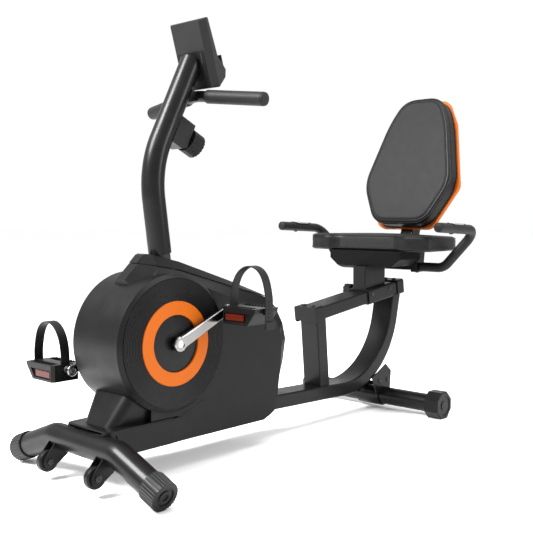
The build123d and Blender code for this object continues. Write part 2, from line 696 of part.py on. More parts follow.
rib_pitch = 4.2
rib_count = 12

with BuildPart() as side_discs:
    with BuildSketch(drum_plane):
        Polygon((-84.2, 27), (-84.2, DISC_R), (-DISC_FACE, DISC_R), (-DISC_FACE, RING_R + 0.4),
                (-88, RING_R + 0.4), (-88, 27), align=None)
        for rib in range(rib_count):
            with Locations((-DISC_FACE, RING_R + 3.2 + rib_pitch * rib)):
                Rectangle(2.4, 1.6, mode=Mode.SUBTRACT)
    revolve(axis=crank_line)
    mirror(about=Plane.XZ)
side_discs.part.label = "side_discs"
export_step(side_discs.part, "parts/side_discs.step")

with BuildPart() as accent_rings:
    with BuildSketch(drum_plane):
        Polygon((-88.2, RING_INNER_R), (-88.2, RING_R), (-96, RING_R), (-97, RING_R - 1),
                (-97, RING_INNER_R + 1), (-96, RING_INNER_R), align=None)
    revolve(axis=crank_line)
    mirror(about=Plane.XZ)
accent_rings.part.label = "accent_rings"
export_step(accent_rings.part, "parts/accent_rings.step")

with BuildPart() as hub_covers:
    with BuildSketch(drum_plane):
        Polygon((-88.2, HUB_HOLE_R), (-88.2, RING_INNER_R - 0.4), (-92, RING_INNER_R - 0.4),
                (-94, 36), (-94, HUB_HOLE_R), align=None)
    revolve(axis=crank_line)
    mirror(about=Plane.XZ)
hub_covers.part.label = "hub_covers"
export_step(hub_covers.part, "parts/hub_covers.step")

# ------------------------------------------------------------------ cranks and pedals

pedal_dx = CRANK_LENGTH * cos(radians(CRANK_ANGLE))
pedal_dz = CRANK_LENGTH * sin(radians(CRANK_ANGLE))
arm_inner = 100.0
arm_outer = 114.0
pedal_inner = 127.0
spindle_r = 7.0

for hand, sign in (("left", -1), ("right", 1)):
    tip = (-sign * pedal_dx, -sign * pedal_dz)
    arm_mid = sign * (arm_inner + arm_outer) / 2
    with BuildPart() as crank_arm:
        with BuildSketch(side(arm_mid)):
            Circle(18)
            with Locations(tip):
                Circle(13.5)
            Polygon(*tangent_outline((0, 0), 15.0, tip, 10.5), align=None)
        extrude(amount=(arm_outer - arm_inner) / 2, both=True)
        chamfer(crank_arm.faces().filter_by(Axis.Y).edges(), length=2.0)
        with BuildSketch(side(arm_mid)):
            Circle(AXLE_R)
            with Locations(tip):
                Circle(spindle_r)
        extrude(amount=20, both=True, mode=Mode.SUBTRACT)
    crank_arm.part.label = f"crank_{hand}"
    export_step(crank_arm.part, f"parts/crank_{hand}.step")

    across = Plane(origin=at(tip[0], 0, tip[1]), x_dir=(0, 1, 0), z_dir=(1, 0, 0))
    with BuildPart() as pedal:
        with BuildSketch(across):
            Polygon((sign * pedal_inner, 13), (sign * 241, 13), (sign * 239, 3), (sign * 214, -28),
                    (sign * pedal_inner, -28), align=None)
        extrude(amount=39, both=True)
        chamfer(pedal.edges().filter_by(Axis.Z), length=7)
        with BuildSketch(level(tip[1] + 13, tip[0])):
            with Locations((-24, sign * 182), (24, sign * 182)):
                RectangleRounded(20, 88, 5)
        extrude(amount=-9, mode=Mode.SUBTRACT)
        for end in (-1, 1):
            with BuildSketch(across.offset(end * 39)):
                Polygon((sign * 136, -1), (sign * 222, -1), (sign * 206, -22), (sign * 136, -22), align=None)
            extrude(amount=-end * 5, mode=Mode.SUBTRACT)
        with BuildSketch(level(tip[1] + 13, tip[0])):
            with Locations((0, sign * 132)):
                Rectangle(24.2, 3.2)
        extrude(amount=-5, mode=Mode.SUBTRACT)
        with BuildSketch(side(sign * (pedal_inner - 1), tip[0], tip[1])):
            Circle(spindle_r + RUN_GAP)
        extrude(amount=-sign * 98, mode=Mode.SUBTRACT)
        with BuildSketch(across):
            Polygon((sign * 234, 9), (sign * 245.6, 9), (sign * 245.6, -2), (sign * 231, -2), align=None)
        extrude(amount=9, both=True)
    pedal.part.label = f"pedal_{hand}"
    export_step(pedal.part, f"parts/pedal_{hand}.step")

    with BuildLine() as strap_path:
        Spline((sign * 132, 8), (sign * 134, 48), (sign * 154, 92), (sign * 192, 110), (sign * 230, 92),
               (sign * 246, 48), (sign * 248, -30), tangents=((0, 1), (0, -1)))
    with BuildPart() as strap:
        with BuildSketch(across):
            trace(strap_path.line, line_width=2.6)
        extrude(amount=12, both=True)
        with BuildSketch(across):
            Polygon((sign * 249, -16), (sign * 254, -18), (sign * 254, -36), (sign * 246, -34),
                    (sign * 246, -29), (sign * 249, -29), align=None)
        extrude(amount=15, both=True)
    strap.part.label = f"pedal_strap_{hand}"
    export_step(strap.part, f"parts/pedal_strap_{hand}.step")

with BuildPart() as pedal_spindles:
    for sign in (-1, 1):
        with BuildSketch(side(sign * arm_inner, -sign * pedal_dx, -sign * pedal_dz)):
            Circle(spindle_r)
        extrude(amount=-sign * 120)
        with BuildSketch(side(sign * arm_outer, -sign * pedal_dx, -sign * pedal_dz)):
            Circle(10)
        extrude(amount=-sign * 9)
pedal_spindles.part.label = "pedal_spindles"
export_step(pedal_spindles.part, "parts/pedal_spindles.step")

# ------------------------------------------------------------------ mast, handlebar, tension knob

mast_corner = (3.1, 414.0)
mast_top = (137.8, 680.8)
upper_lean = degrees(atan2(mast_top[1] - mast_corner[1], mast_top[0] - mast_corner[0]))
box_root = (41.0, 489.0)

with BuildPart() as mast:
    with BuildLine():
        FilletPolyline(at(mast_foot[0], 0, mast_foot[1]), at(mast_corner[0], 0, mast_corner[1]),
                       at(mast_top[0], 0, mast_top[1]), radius=250)
    with BuildSketch(facing(at(mast_foot[0], 0, mast_foot[1]), along(mast_lean))):
        Circle(MAST_R)
        Circle(socket_r, mode=Mode.SUBTRACT)
    sweep()
mast.part.label = "mast"
export_step(mast.part, "parts/mast.step")

bar_mid = (152.0, 596.0)
bar_tip = (181.0, 205.0, 573.0)
bar_run = Vector(bar_tip[0] - bar_mid[0], bar_tip[1], bar_tip[2] - bar_mid[1]).normalized()

with BuildPart() as front_handlebar:
    with BuildLine():
        FilletPolyline(at(bar_tip[0], -bar_tip[1], bar_tip[2]), at(bar_mid[0], 0, bar_mid[1]),
                       at(*bar_tip), radius=90)
    with BuildSketch(facing(at(bar_tip[0], -bar_tip[1], bar_tip[2]), (-bar_run.X, bar_run.Y, -bar_run.Z),
                            (1, 0, 0))):
        Circle(BAR_R)
        Circle(BAR_R - 2, mode=Mode.SUBTRACT)
    sweep()
    with BuildSketch(side(0)):
        Polygon((100, 606), (150, 606), (150, 584), (100, 574), align=None)
    extrude(amount=14, both=True)
    with BuildSketch(side(0, bar_mid[0], bar_mid[1])):
        Circle(BAR_R - 2)
    extrude(amount=14.5, both=True, mode=Mode.SUBTRACT)
    with BuildSketch(facing(at(mast_corner[0], 0, mast_corner[1]), along(upper_lean))):
        Circle(MAST_R)
    extrude(amount=400, mode=Mode.SUBTRACT)
front_handlebar.part.label = "front_handlebar"
export_step(front_handlebar.part, "parts/front_handlebar.step")

with BuildPart() as front_grips:
    for sign in (-1, 1):
        run = (bar_run.X, sign * bar_run.Y, bar_run.Z)
        tip_plane = facing(at(bar_tip[0], sign * bar_tip[1], bar_tip[2]), run, (1, 0, 0))
        with BuildSketch(tip_plane):
            Circle(GRIP_R)
            Circle(BAR_R, mode=Mode.SUBTRACT)
        extrude(amount=-170)
        with BuildSketch(tip_plane):
            Circle(GRIP_R - 1)
        extrude(amount=4)
front_grips.part.label = "front_grips"
export_step(front_grips.part, "parts/front_grips.step")

lean = radians(upper_lean)
box_plane = Plane(origin=at(box_root[0], 0, box_root[1]), x_dir=(sin(lean), 0, -cos(lean)), z_dir=(0, -1, 0))
knob_up = 32.0
knob_gap = 70.0
knob_depth = 36.0
knob_r = 31.0


def knob_plane(reach):
    """Plane square to the knob axis, at a distance out from the mast axis."""
    x = box_root[0] + knob_up * cos(lean) + reach * sin(lean)
    z = box_root[1] + knob_up * sin(lean) - reach * cos(lean)
    return Plane(origin=at(x, 0, z), x_dir=(0, 1, 0), z_dir=(sin(lean), 0, -cos(lean)))


with BuildPart() as tension_box:
    with BuildSketch(box_plane):
        Polygon((20, 68), (67, 68), (67, 6), (54, -4), (20, -4), align=None)
    extrude(amount=20, both=True)
    with BuildSketch(facing(at(mast_corner[0], 0, mast_corner[1]), along(upper_lean))):
        Circle(MAST_R)
    extrude(amount=400, mode=Mode.SUBTRACT)
    with BuildSketch(knob_plane(0)):
        Circle(5 + RUN_GAP)
    extrude(amount=80, mode=Mode.SUBTRACT)
tension_box.part.label = "tension_box"
export_step(tension_box.part, "parts/tension_box.step")

with BuildPart() as tension_knob:
    with BuildSketch(knob_plane(knob_gap)):
        Circle(knob_r)
        with PolarLocations(knob_r + 1.2, 20):
            Circle(2.6, mode=Mode.SUBTRACT)
    extrude(amount=knob_depth)
    with BuildSketch(knob_plane(knob_gap + knob_depth)):
        Circle(22)
    extrude(amount=2)
    with BuildSketch(knob_plane(36)):
        Circle(5)
    extrude(amount=knob_gap - 36)
tension_knob.part.label = "tension_knob"
export_step(tension_knob.part, "parts/tension_knob.step")

# ------------------------------------------------------------------ console

console_top = (111.0, 772.0)
console_lean = atan2(47.0, 160.0)
console_half = 65.0
console_out = (cos(console_lean), 0, sin(console_lean))
console_side = Plane(origin=at(console_top[0], 0, console_top[1]), x_dir=console_out, z_dir=(0, -1, 0))


def console_face(depth):
    """Plane parallel to the console's back, local y up, measured from its top edge."""
    return Plane(origin=at(console_top[0] + depth * console_out[0], 0, console_top[1] + depth * console_out[2]),
                 x_dir=(0, 1, 0), z_dir=console_out)


with BuildPart() as console_back:
    with BuildSketch(console_face(0)):
        with Locations((0, -84)):
            RectangleRounded(102, 164, 4)
    with BuildSketch(console_face(14)):
        with Locations((0, -84)):
            RectangleRounded(2 * console_half, 168, 4)
    loft()
    with BuildSketch(console_face(2.5)):
        with Locations((0, -84)):
            RectangleRounded(100, 159, 3)
    with BuildSketch(console_face(14)):
        with Locations((0, -84)):
            RectangleRounded(2 * console_half - 5, 163, 3)
    loft(mode=Mode.SUBTRACT)
    with BuildSketch(facing(at(mast_top[0], 0, mast_top[1]), along(upper_lean))):
        Circle(MAST_R + 0.2)
    extrude(amount=0.3, mode=Mode.SUBTRACT)
    with BuildSketch(facing(at(mast_top[0], 0, mast_top[1]), along(upper_lean))):
        Circle(MAST_R + 0.2)
    extrude(amount=-60, mode=Mode.SUBTRACT)
    with BuildSketch(console_face(0)):
        with Locations((-37, -92), (37, -92)):
            SlotOverall(26, 4, rotation=90)
    extrude(amount=5, mode=Mode.SUBTRACT)
console_back.part.label = "console_back"
export_step(console_back.part, "parts/console_back.step")

button_y = (-22.0, 22.0)
button_drop = 80.0
button_r = 6.5
screen_drop = 38.0
screen_lean = degrees(atan2(6.7, 91.6))


def screen_plane(rise):
    """Plane on the console's screen face, raised by a distance, local y up."""
    face = console_lean + radians(screen_lean)
    spot = console_side.from_local_coords((21.0, -2.0, 0))
    out = (cos(face), 0, sin(face))
    return Plane(origin=(spot.X + rise * out[0], 0, spot.Z + rise * out[2]), x_dir=(0, 1, 0), z_dir=out)


with BuildPart() as console_front:
    with BuildSketch(console_side):
        Polygon((14, 0), (17, 0), (21, -2), (27.7, -93.6), (46, -130), (40, -148), (21, -162), (14, -167.5),
                align=None)
    extrude(amount=console_half, both=True)
    with BuildSketch(console_side):
        Polygon((13, -2.5), (17.5, -3.2), (25, -94.5), (42.5, -130), (37.5, -146), (19.5, -159.5), (13, -164.5),
                align=None)
    extrude(amount=console_half - 2.5, both=True, mode=Mode.SUBTRACT)
    with BuildSketch(screen_plane(-1.6)):
        with Locations((0, -screen_drop)):
            RectangleRounded(100, 54, 3)
    extrude(amount=4, mode=Mode.SUBTRACT)
    with BuildSketch(screen_plane(-6)):
        for y in button_y:
            with Locations((y, -button_drop)):
                Circle(button_r + 0.4)
    extrude(amount=10, mode=Mode.SUBTRACT)
    with BuildSketch(facing(at(mast_top[0], 0, mast_top[1]), along(upper_lean))):
        Circle(MAST_R + 0.2)
    extrude(amount=0.3, mode=Mode.SUBTRACT)
    with BuildSketch(facing(at(mast_top[0], 0, mast_top[1]), along(upper_lean))):
        Circle(MAST_R + 0.2)
    extrude(amount=-60, mode=Mode.SUBTRACT)
console_front.part.label = "console_front"
export_step(console_front.part, "parts/console_front.step")

with BuildPart() as console_screen:
    with BuildSketch(screen_plane(-1.6)):
        with Locations((0, -screen_drop)):
            RectangleRounded(99.4, 53.4, 2.7)
    extrude(amount=1.4)
console_screen.part.label = "console_screen"
export_step(console_screen.part, "parts/console_screen.step")

for name, y in zip(("button_mode", "button_reset"), button_y):
    with BuildPart() as button:
        with BuildSketch(screen_plane(-5)):
            with Locations((y, -button_drop)):
                Circle(button_r)
        extrude(amount=7)
    button.part.label = name
    export_step(button.part, f"parts/{name}.step")

with BuildPart() as device_ledge:
    with BuildSketch(console_side):
        Polygon((27.5, -92), (29.5, -92), (38, -110), (54, -110), (54, -94), (57.5, -94), (57.5, -120),
                (46.2, -130), (41.4, -121.2), (27.9, -93.8), align=None)
    extrude(amount=48, both=True)
    with BuildSketch(console_side):
        Polygon((14, 0), (21, -2), (27.8, -93.5), (46.3, -130), (14, -167), align=None)
    extrude(amount=70, both=True, mode=Mode.SUBTRACT)
device_ledge.part.label = "device_ledge"
export_step(device_ledge.part, "parts/device_ledge.step")

# ------------------------------------------------------------------ seat carriage, pan and pad

carriage_front = 826.0
carriage_rear = 952.0
carriage_gap = 0.35
carriage_wall = 4.0
post_x = 881.0
pan_bottom = 141.0
pad_bottom = 189.0
carriage_length = (carriage_rear - carriage_front) / cos(radians(SEAT_RAIL_ANGLE))
carriage_plane = facing(at(carriage_front, 0, seat_rail_z(carriage_front)), along(SEAT_RAIL_ANGLE))
lock_z = seat_rail_z(lock_x) + 9

with BuildPart() as seat_carriage:
    with BuildSketch(level(40, post_x)):
        RectangleRounded(106, 50, 5)
        RectangleRounded(100, 44, 3, mode=Mode.SUBTRACT)
    extrude(amount=pan_bottom - 40)
    with BuildSketch(carriage_plane):
        RectangleRounded(RAIL_WIDTH + 2 * (carriage_gap + carriage_wall),
                         SEAT_RAIL_HEIGHT + 2 * (carriage_gap + carriage_wall), 7)
    extrude(amount=carriage_length)
    with BuildSketch(side(RAIL_WIDTH / 2, lock_x, lock_z)):
        Circle(13)
    extrude(amount=-14)
    with BuildSketch(carriage_plane):
        RectangleRounded(RAIL_WIDTH + 2 * carriage_gap, SEAT_RAIL_HEIGHT + 2 * carriage_gap, 4)
    extrude(amount=carriage_length, mode=Mode.SUBTRACT)
    with BuildSketch(side(RAIL_WIDTH / 2 - 1, lock_x, lock_z)):
        Circle(5 + RUN_GAP)
    extrude(amount=-20, mode=Mode.SUBTRACT)
seat_carriage.part.label = "seat_carriage"
export_step(seat_carriage.part, "parts/seat_carriage.step")

with BuildPart() as lock_knob:
    with BuildSketch(side(RAIL_WIDTH / 2 + 0.5, lock_x, lock_z)):
        Circle(5)
    extrude(amount=-26)
    with BuildSketch(side(RAIL_WIDTH / 2 + 26.5, lock_x, lock_z)):
        Circle(18)
        with PolarLocations(20.5, 8):
            Circle(5, mode=Mode.SUBTRACT)
    extrude(amount=-24)
    with BuildSketch(side(RAIL_WIDTH / 2 + 50.5, lock_x, lock_z)):
        Circle(12)
    extrude(amount=-2)
lock_knob.part.label = "lock_knob"
export_step(lock_knob.part, "parts/lock_knob.step")

pan_front_plane = Plane(origin=at(852, 0, 0), x_dir=(0, 1, 0), z_dir=(1, 0, 0))

with BuildPart() as seat_pan:
    with BuildSketch(pan_front_plane):
        Polygon((-134, 184), (-134, 164), (-104, pan_bottom), (104, pan_bottom), (134, 164), (134, 184),
                align=None)
    extrude(amount=112)
    with BuildSketch(pan_front_plane.offset(3)):
        Polygon((-131, 186), (-131, 165.4), (-103, 144), (103, 144), (131, 165.4), (131, 186), align=None)
    extrude(amount=106, mode=Mode.SUBTRACT)
    with BuildSketch(level(184, 956)):
        Rectangle(206, 280)
    extrude(amount=5)
    with BuildSketch(level(179, 1025.5)):
        Rectangle(23, 50)
    extrude(amount=5)
    with BuildSketch(level(184, 1065)):
        Rectangle(30, 54)
    extrude(amount=10, mode=Mode.SUBTRACT)
seat_pan.part.label = "seat_pan"
export_step(seat_pan.part, "parts/seat_pan.step")

with BuildPart() as seat_pad:
    with BuildSketch(level(pad_bottom)):
        Polygon((865, -107), (840, -150), (863, -231), (1040, -219), (1096, -172), (1100, -36), (1050, -36),
                (1050, 36), (1100, 36), (1096, 172), (1040, 219), (863, 231), (840, 150), (865, 107),
                align=None)
    extrude(amount=54)
    split(bisect_by=Plane(origin=at(850, 0, 242.5), x_dir=(0, 1, 0),
                          z_dir=(-sin(radians(2.5)), 0, -cos(radians(2.5)))), keep=Keep.TOP)
seat_pad.part.label = "seat_pad"
export_step(seat_pad.part, "parts/seat_pad.step")

# ------------------------------------------------------------------ rear handlebar

handle_r = 12.0
sleeve_r = 14.5
handle_tip = (806.0, 264.2)
handle_bend = (1016.0, 254.5)
handle_low_y = 203.0
sleeve_start_y = 126.0
grip_run = Vector(handle_bend[0] - handle_tip[0], 0, handle_bend[1] - handle_tip[1]).normalized()
grip_plane = facing(at(handle_tip[0], -HANDLE_Y, handle_tip[1]), (grip_run.X, 0, grip_run.Z))

with BuildPart() as rear_handlebar:
    with BuildLine():
        FilletPolyline(
            at(handle_tip[0], -HANDLE_Y, handle_tip[1]),
            at(handle_bend[0], -HANDLE_Y, handle_bend[1]),
            at(HANDLE_X, -handle_low_y, HANDLE_Z),
            at(HANDLE_X, handle_low_y, HANDLE_Z),
            at(handle_bend[0], HANDLE_Y, handle_bend[1]),
            at(handle_tip[0], HANDLE_Y, handle_tip[1]),
            radius=42,
        )
    with BuildSketch(grip_plane):
        Circle(handle_r)
        Circle(handle_r - 2, mode=Mode.SUBTRACT)
    sweep()
rear_handlebar.part.label = "rear_handlebar"
export_step(rear_handlebar.part, "parts/rear_handlebar.step")

with BuildPart() as rear_grips:
    with BuildLine():
        FilletPolyline(
            at(handle_tip[0], -HANDLE_Y, handle_tip[1]),
            at(handle_bend[0], -HANDLE_Y, handle_bend[1]),
            at(HANDLE_X, -handle_low_y, HANDLE_Z),
            at(HANDLE_X, -sleeve_start_y, HANDLE_Z),
            radius=42,
        )
    with BuildSketch(grip_plane):
        Circle(sleeve_r)
        Circle(handle_r, mode=Mode.SUBTRACT)
    sweep()
    with BuildSketch(grip_plane):
        Circle(sleeve_r - 0.5)
    extrude(amount=-7)
    mirror(about=Plane.XZ)
rear_grips.part.label = "rear_grips"
export_step(rear_grips.part, "parts/rear_grips.step")

with BuildPart() as pulse_plates:
    with BuildSketch(grip_plane):
        Circle(sleeve_r + 1.6)
        Circle(sleeve_r, mode=Mode.SUBTRACT)
    extrude(amount=180)
    with BuildSketch(level(262)):
        with Locations((handle_tip[0] + 92, -HANDLE_Y)):
            Polygon((-52, 0), (-30, 12.5), (30, 12.5), (52, 0), (30, -12.5), (-30, -12.5))
    extrude(amount=40, mode=Mode.INTERSECT)
    mirror(about=Plane.XZ)
pulse_plates.part.label = "pulse_plates"
export_step(pulse_plates.part, "parts/pulse_plates.step")

clamp_y = 107.0

with BuildPart() as handlebar_clamps:
    with BuildSketch(side(-clamp_y)):
        Polygon((HANDLE_X - 26, 184), (HANDLE_X + 26, 184), (HANDLE_X + 20, HANDLE_Z), (HANDLE_X + 20, HANDLE_Z - 16),
                (HANDLE_X - 20, HANDLE_Z - 16), (HANDLE_X - 20, HANDLE_Z), align=None)
        with Locations((HANDLE_X, HANDLE_Z)):
            Circle(handle_r, mode=Mode.SUBTRACT)
    extrude(amount=11, both=True)
    mirror(about=Plane.XZ)
handlebar_clamps.part.label = "handlebar_clamps"
export_step(handlebar_clamps.part, "parts/handlebar_clamps.step")

# ------------------------------------------------------------------ backrest

back_foot = (1039.0, 295.0)
back_tilt = radians(SEAT_BACK_TILT)
pad_depth = 47.0
shell_depth = 13.0
back_half = [(100, -22), (172, 118), (117, 338), (72, 421)]


def back_plane(depth):
    """Plane parallel to the backrest's face, local x across, local y up the backrest."""
    return Plane(origin=at(back_foot[0] + depth * cos(back_tilt), 0, back_foot[1] - depth * sin(back_tilt)),
                 x_dir=(0, 1, 0), z_dir=(cos(back_tilt), 0, -sin(back_tilt)))


def back_corners():
    """Corners of the backrest outline, both sides."""
    return back_half + [(-y, rise) for y, rise in reversed(back_half)]


with BuildPart() as backrest_pad:
    with BuildSketch(back_plane(0)):
        Polygon(*back_corners(), align=None)
        fillet(vertices(), radius=34)
    extrude(amount=pad_depth)
backrest_pad.part.label = "backrest_pad"
export_step(backrest_pad.part, "parts/backrest_pad.step")

with BuildPart() as backrest_shell:
    with BuildSketch(back_plane(pad_depth)):
        Polygon(*back_corners(), align=None)
        fillet(vertices(), radius=34)
        offset(amount=4)
    extrude(amount=shell_depth)
    with BuildSketch(back_plane(pad_depth)):
        Polygon(*back_corners(), align=None)
        fillet(vertices(), radius=34)
        offset(amount=-8)
    extrude(amount=shell_depth - 4, mode=Mode.SUBTRACT)
    with BuildSketch(back_plane(pad_depth)):
        with Locations((0, 170)):
            Rectangle(90, 190)
    extrude(amount=shell_depth)
backrest_shell.part.label = "backrest_shell"
export_step(backrest_shell.part, "parts/backrest_shell.step")

tube_width = 50.0
tube_depth = 40.0
tube_mid = pad_depth + shell_depth + 4 + tube_depth / 2
tube_z = 157.0
tube_low = (back_foot[0] + tube_mid * cos(back_tilt), back_foot[1] - tube_mid * sin(back_tilt))
tube_run = (tube_z - tube_low[1]) / cos(back_tilt)
tube_knee = (tube_low[0] + tube_run * sin(back_tilt), tube_z)
tube_head = (tube_low[0] + 262 * sin(back_tilt), tube_low[1] + 262 * cos(back_tilt))

with BuildPart() as backrest_bracket:
    with BuildLine():
        FilletPolyline(at(1014, 0, tube_z), at(tube_knee[0], 0, tube_knee[1]), at(tube_head[0], 0, tube_head[1]),
                       radius=60)
    with BuildSketch(facing(at(1014, 0, tube_z), (1, 0, 0))):
        RectangleRounded(tube_width, tube_depth + 4, 5)
        RectangleRounded(tube_width - 4, tube_depth, 3, mode=Mode.SUBTRACT)
    sweep()
    with BuildSketch(back_plane(pad_depth + shell_depth)):
        with Locations((0, 130), (0, 220)):
            RectangleRounded(84, 44, 5)
    extrude(amount=2.0)
backrest_bracket.part.label = "backrest_bracket"
export_step(backrest_bracket.part, "parts/backrest_bracket.step")

# ------------------------------------------------------------------ fasteners

with BuildPart() as wheel_pins:
    with BuildSketch(side(-WHEEL_Y + 17, WHEEL_X, WHEEL_Z)):
        Circle(4)
    extrude(amount=34)
    with BuildSketch(side(-WHEEL_Y - 13.5, WHEEL_X, WHEEL_Z)):
        Circle(8)
    extrude(amount=3)
    with BuildSketch(side(-WHEEL_Y + 17, WHEEL_X, WHEEL_Z)):
        RegularPolygon(7.5, 6)
    extrude(amount=3.5)
    mirror(about=Plane.XZ)
wheel_pins.part.label = "wheel_pins"
export_step(wheel_pins.part, "parts/wheel_pins.step")

bolt_head_r = 7.0
bolt_head_rise = 4.5
rail_side = RAIL_WIDTH / 2 + carriage_gap + carriage_wall

with BuildPart() as seat_bolts:
    for bolt_x in (842.0, 940.0):
        rail_top = seat_rail_z(bolt_x) + 8
        with BuildSketch(side(-rail_side, bolt_x, rail_top), side(rail_side + bolt_head_rise, bolt_x, rail_top)):
            Circle(bolt_head_r)
        extrude(amount=bolt_head_rise)
seat_bolts.part.label = "seat_bolts"
export_step(seat_bolts.part, "parts/seat_bolts.step")
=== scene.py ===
import math

import bmesh
import bpy
from mathutils import Matrix, Vector


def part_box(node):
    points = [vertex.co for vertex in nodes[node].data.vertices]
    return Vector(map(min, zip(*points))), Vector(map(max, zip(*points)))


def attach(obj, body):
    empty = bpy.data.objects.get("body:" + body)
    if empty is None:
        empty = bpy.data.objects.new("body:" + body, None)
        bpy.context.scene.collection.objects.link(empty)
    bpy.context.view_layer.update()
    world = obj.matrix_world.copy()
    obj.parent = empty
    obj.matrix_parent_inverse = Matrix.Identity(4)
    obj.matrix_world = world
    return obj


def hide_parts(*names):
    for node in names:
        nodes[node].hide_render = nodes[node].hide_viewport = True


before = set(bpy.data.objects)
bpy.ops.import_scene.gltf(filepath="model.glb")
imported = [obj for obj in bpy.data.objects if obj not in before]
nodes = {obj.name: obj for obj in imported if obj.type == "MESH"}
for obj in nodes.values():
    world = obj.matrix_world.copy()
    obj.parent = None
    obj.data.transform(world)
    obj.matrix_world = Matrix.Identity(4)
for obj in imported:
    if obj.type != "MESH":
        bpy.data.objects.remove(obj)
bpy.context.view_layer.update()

MM = 0.001
CRANK = Vector((-488.05, 0.0, 310.0))
BACK_TILT = math.radians(18.7)
BACK_FOOT = (1039.0, 295.0)
PAD_DEPTH = 47.0
SEAT_BOTTOM = 189.0
RAIL_TILT = math.radians(7.8)
CRANK_LENGTH = 168.0
CONSOLE_LEAN = math.atan2(47.0, 160.0)
# Heights on the backrest cloth between which its painted reflection fades from light to dark.
CLOTH_FOOT = 0.62
CLOTH_TOP = 1.02
HOLES_HALF_WIDTH = 0.104


def row(x, y, z):
    """A point given in millimetres from the crank axle, in the row frame's metres."""
    return (CRANK + Vector((x, y, z))) * MM


# ------------------------------------------------------------------ materials


class Builder:
    """A material's node tree, with short calls to add and join nodes."""

    def __init__(self, name):
        self.material = bpy.data.materials.new(name)
        self.material.use_nodes = True
        self.tree = self.material.node_tree
        self.tree.nodes.clear()
        self.shader = self.node("ShaderNodeBsdfPrincipled")
        output = self.node("ShaderNodeOutputMaterial")
        self.link(self.shader.outputs[0], output.inputs[0])
        self.place = self.node("ShaderNodeTexCoord").outputs["Object"]

    def node(self, kind, **values):
        made = self.tree.nodes.new(kind)
        for key, value in values.items():
            setattr(made, key, value)
        return made

    def link(self, source, target):
        self.tree.links.new(source, target)

    def noise(self, scale, detail=3.0):
        made = self.node("ShaderNodeTexNoise")
        made.inputs["Scale"].default_value = scale
        made.inputs["Detail"].default_value = detail
        self.link(self.place, made.inputs["Vector"])
        return made.outputs["Fac"]

    def spread(self, source, low, high, start=0.0, end=1.0):
        made = self.node("ShaderNodeMapRange")
        for key, value in (("From Min", start), ("From Max", end), ("To Min", low), ("To Max", high)):
            made.inputs[key].default_value = value
        self.link(source, made.inputs["Value"])
        return made.outputs["Result"]

    def blend(self, factor, first, second):
        made = self.node("ShaderNodeMix", data_type="RGBA")
        self.link(factor, made.inputs["Factor"])
        for value, socket in ((first, made.inputs["A"]), (second, made.inputs["B"])):
            if isinstance(value, tuple):
                socket.default_value = (*value, 1.0)
            else:
                self.link(value, socket)
        return made.outputs["Result"]

    def math(self, operation, first, second=0.0):
        made = self.node("ShaderNodeMath", operation=operation)
        for value, socket in ((first, made.inputs[0]), (second, made.inputs[1])):
            if isinstance(value, (int, float)):
                socket.default_value = value
            else:
                self.link(value, socket)
        return made.outputs[0]

    def bump(self, height, strength, distance, normal=None):
        made = self.node("ShaderNodeBump")
        made.inputs["Strength"].default_value = strength
        made.inputs["Distance"].default_value = distance
        self.link(height, made.inputs["Height"])
        if normal is not None:
            self.link(normal, made.inputs["Normal"])
        return made.outputs["Normal"]

    def round_edges(self, radius):
        made = self.node("ShaderNodeBevel", samples=4)
        made.inputs["Radius"].default_value = radius
        return made.outputs["Normal"]

    def edge_mask(self, rounded):
        """1 where the rounded normal leaves the flat one, so along the edges; it places the painted edge
        highlight.
        """
        flat = self.node("ShaderNodeNewGeometry").outputs["Normal"]
        dot = self.node("ShaderNodeVectorMath", operation="DOT_PRODUCT")
        self.link(rounded, dot.inputs[0])
        self.link(flat, dot.inputs[1])
        return self.spread(dot.outputs["Value"], 0.0, 1.0, 0.995, 0.93)


def shade(factor, color):
    """The colour made darker or lighter."""
    return tuple(channel * factor for channel in color)


def surface(name, color, rough, grain=900.0, relief=0.00012, vary=0.12, rough_vary=0.06, metallic=0.0,
            coat=0.0, specular=0.5, edge=1.8, radius=0.0012):
    """Moulded, painted or metal surface: fine grain, slow mottling, and a painted highlight that makes the edges
    a little lighter in patches.
    """
    b = Builder(name)
    shader = b.shader
    shader.inputs["Metallic"].default_value = metallic
    shader.inputs["Coat Weight"].default_value = coat
    shader.inputs["Coat Roughness"].default_value = 0.18
    shader.inputs["Specular IOR Level"].default_value = specular
    rounded = b.round_edges(radius)
    mottled = b.blend(b.noise(9.0), shade(1.0 - vary, color), shade(1.0 + vary, color))
    # Painted highlight: the edges are painted lighter, by the factor edge, in patches set by a noise.
    edge_highlight = b.math("MULTIPLY", b.edge_mask(rounded), b.spread(b.noise(60.0), 0.15, 0.8, 0.35, 0.65))
    b.link(b.blend(edge_highlight, mottled, shade(edge, color)), shader.inputs["Base Color"])
    b.link(b.spread(b.noise(25.0, 5.0), rough - rough_vary, rough + rough_vary, 0.3, 0.7),
           shader.inputs["Roughness"])
    b.link(b.bump(b.noise(grain, 2.0), 0.35, relief, rounded), shader.inputs["Normal"])
    return b.material


def foam(name, color):
    """Closed-cell foam sleeve: small pits and a dry surface."""
    b = Builder(name)
    b.shader.inputs["Sheen Weight"].default_value = 0.02
    b.shader.inputs["Specular IOR Level"].default_value = 0.15
    pits = b.node("ShaderNodeTexVoronoi")
    pits.inputs["Scale"].default_value = 900.0
    b.link(b.place, pits.inputs["Vector"])
    b.link(b.blend(b.noise(30.0), shade(0.8, color), shade(1.3, color)), b.shader.inputs["Base Color"])
    b.link(b.spread(b.noise(200.0), 0.42, 0.6), b.shader.inputs["Roughness"])
    b.link(b.bump(pits.outputs["Distance"], 0.35, 0.0003, b.round_edges(0.0015)), b.shader.inputs["Normal"])
    return b.material


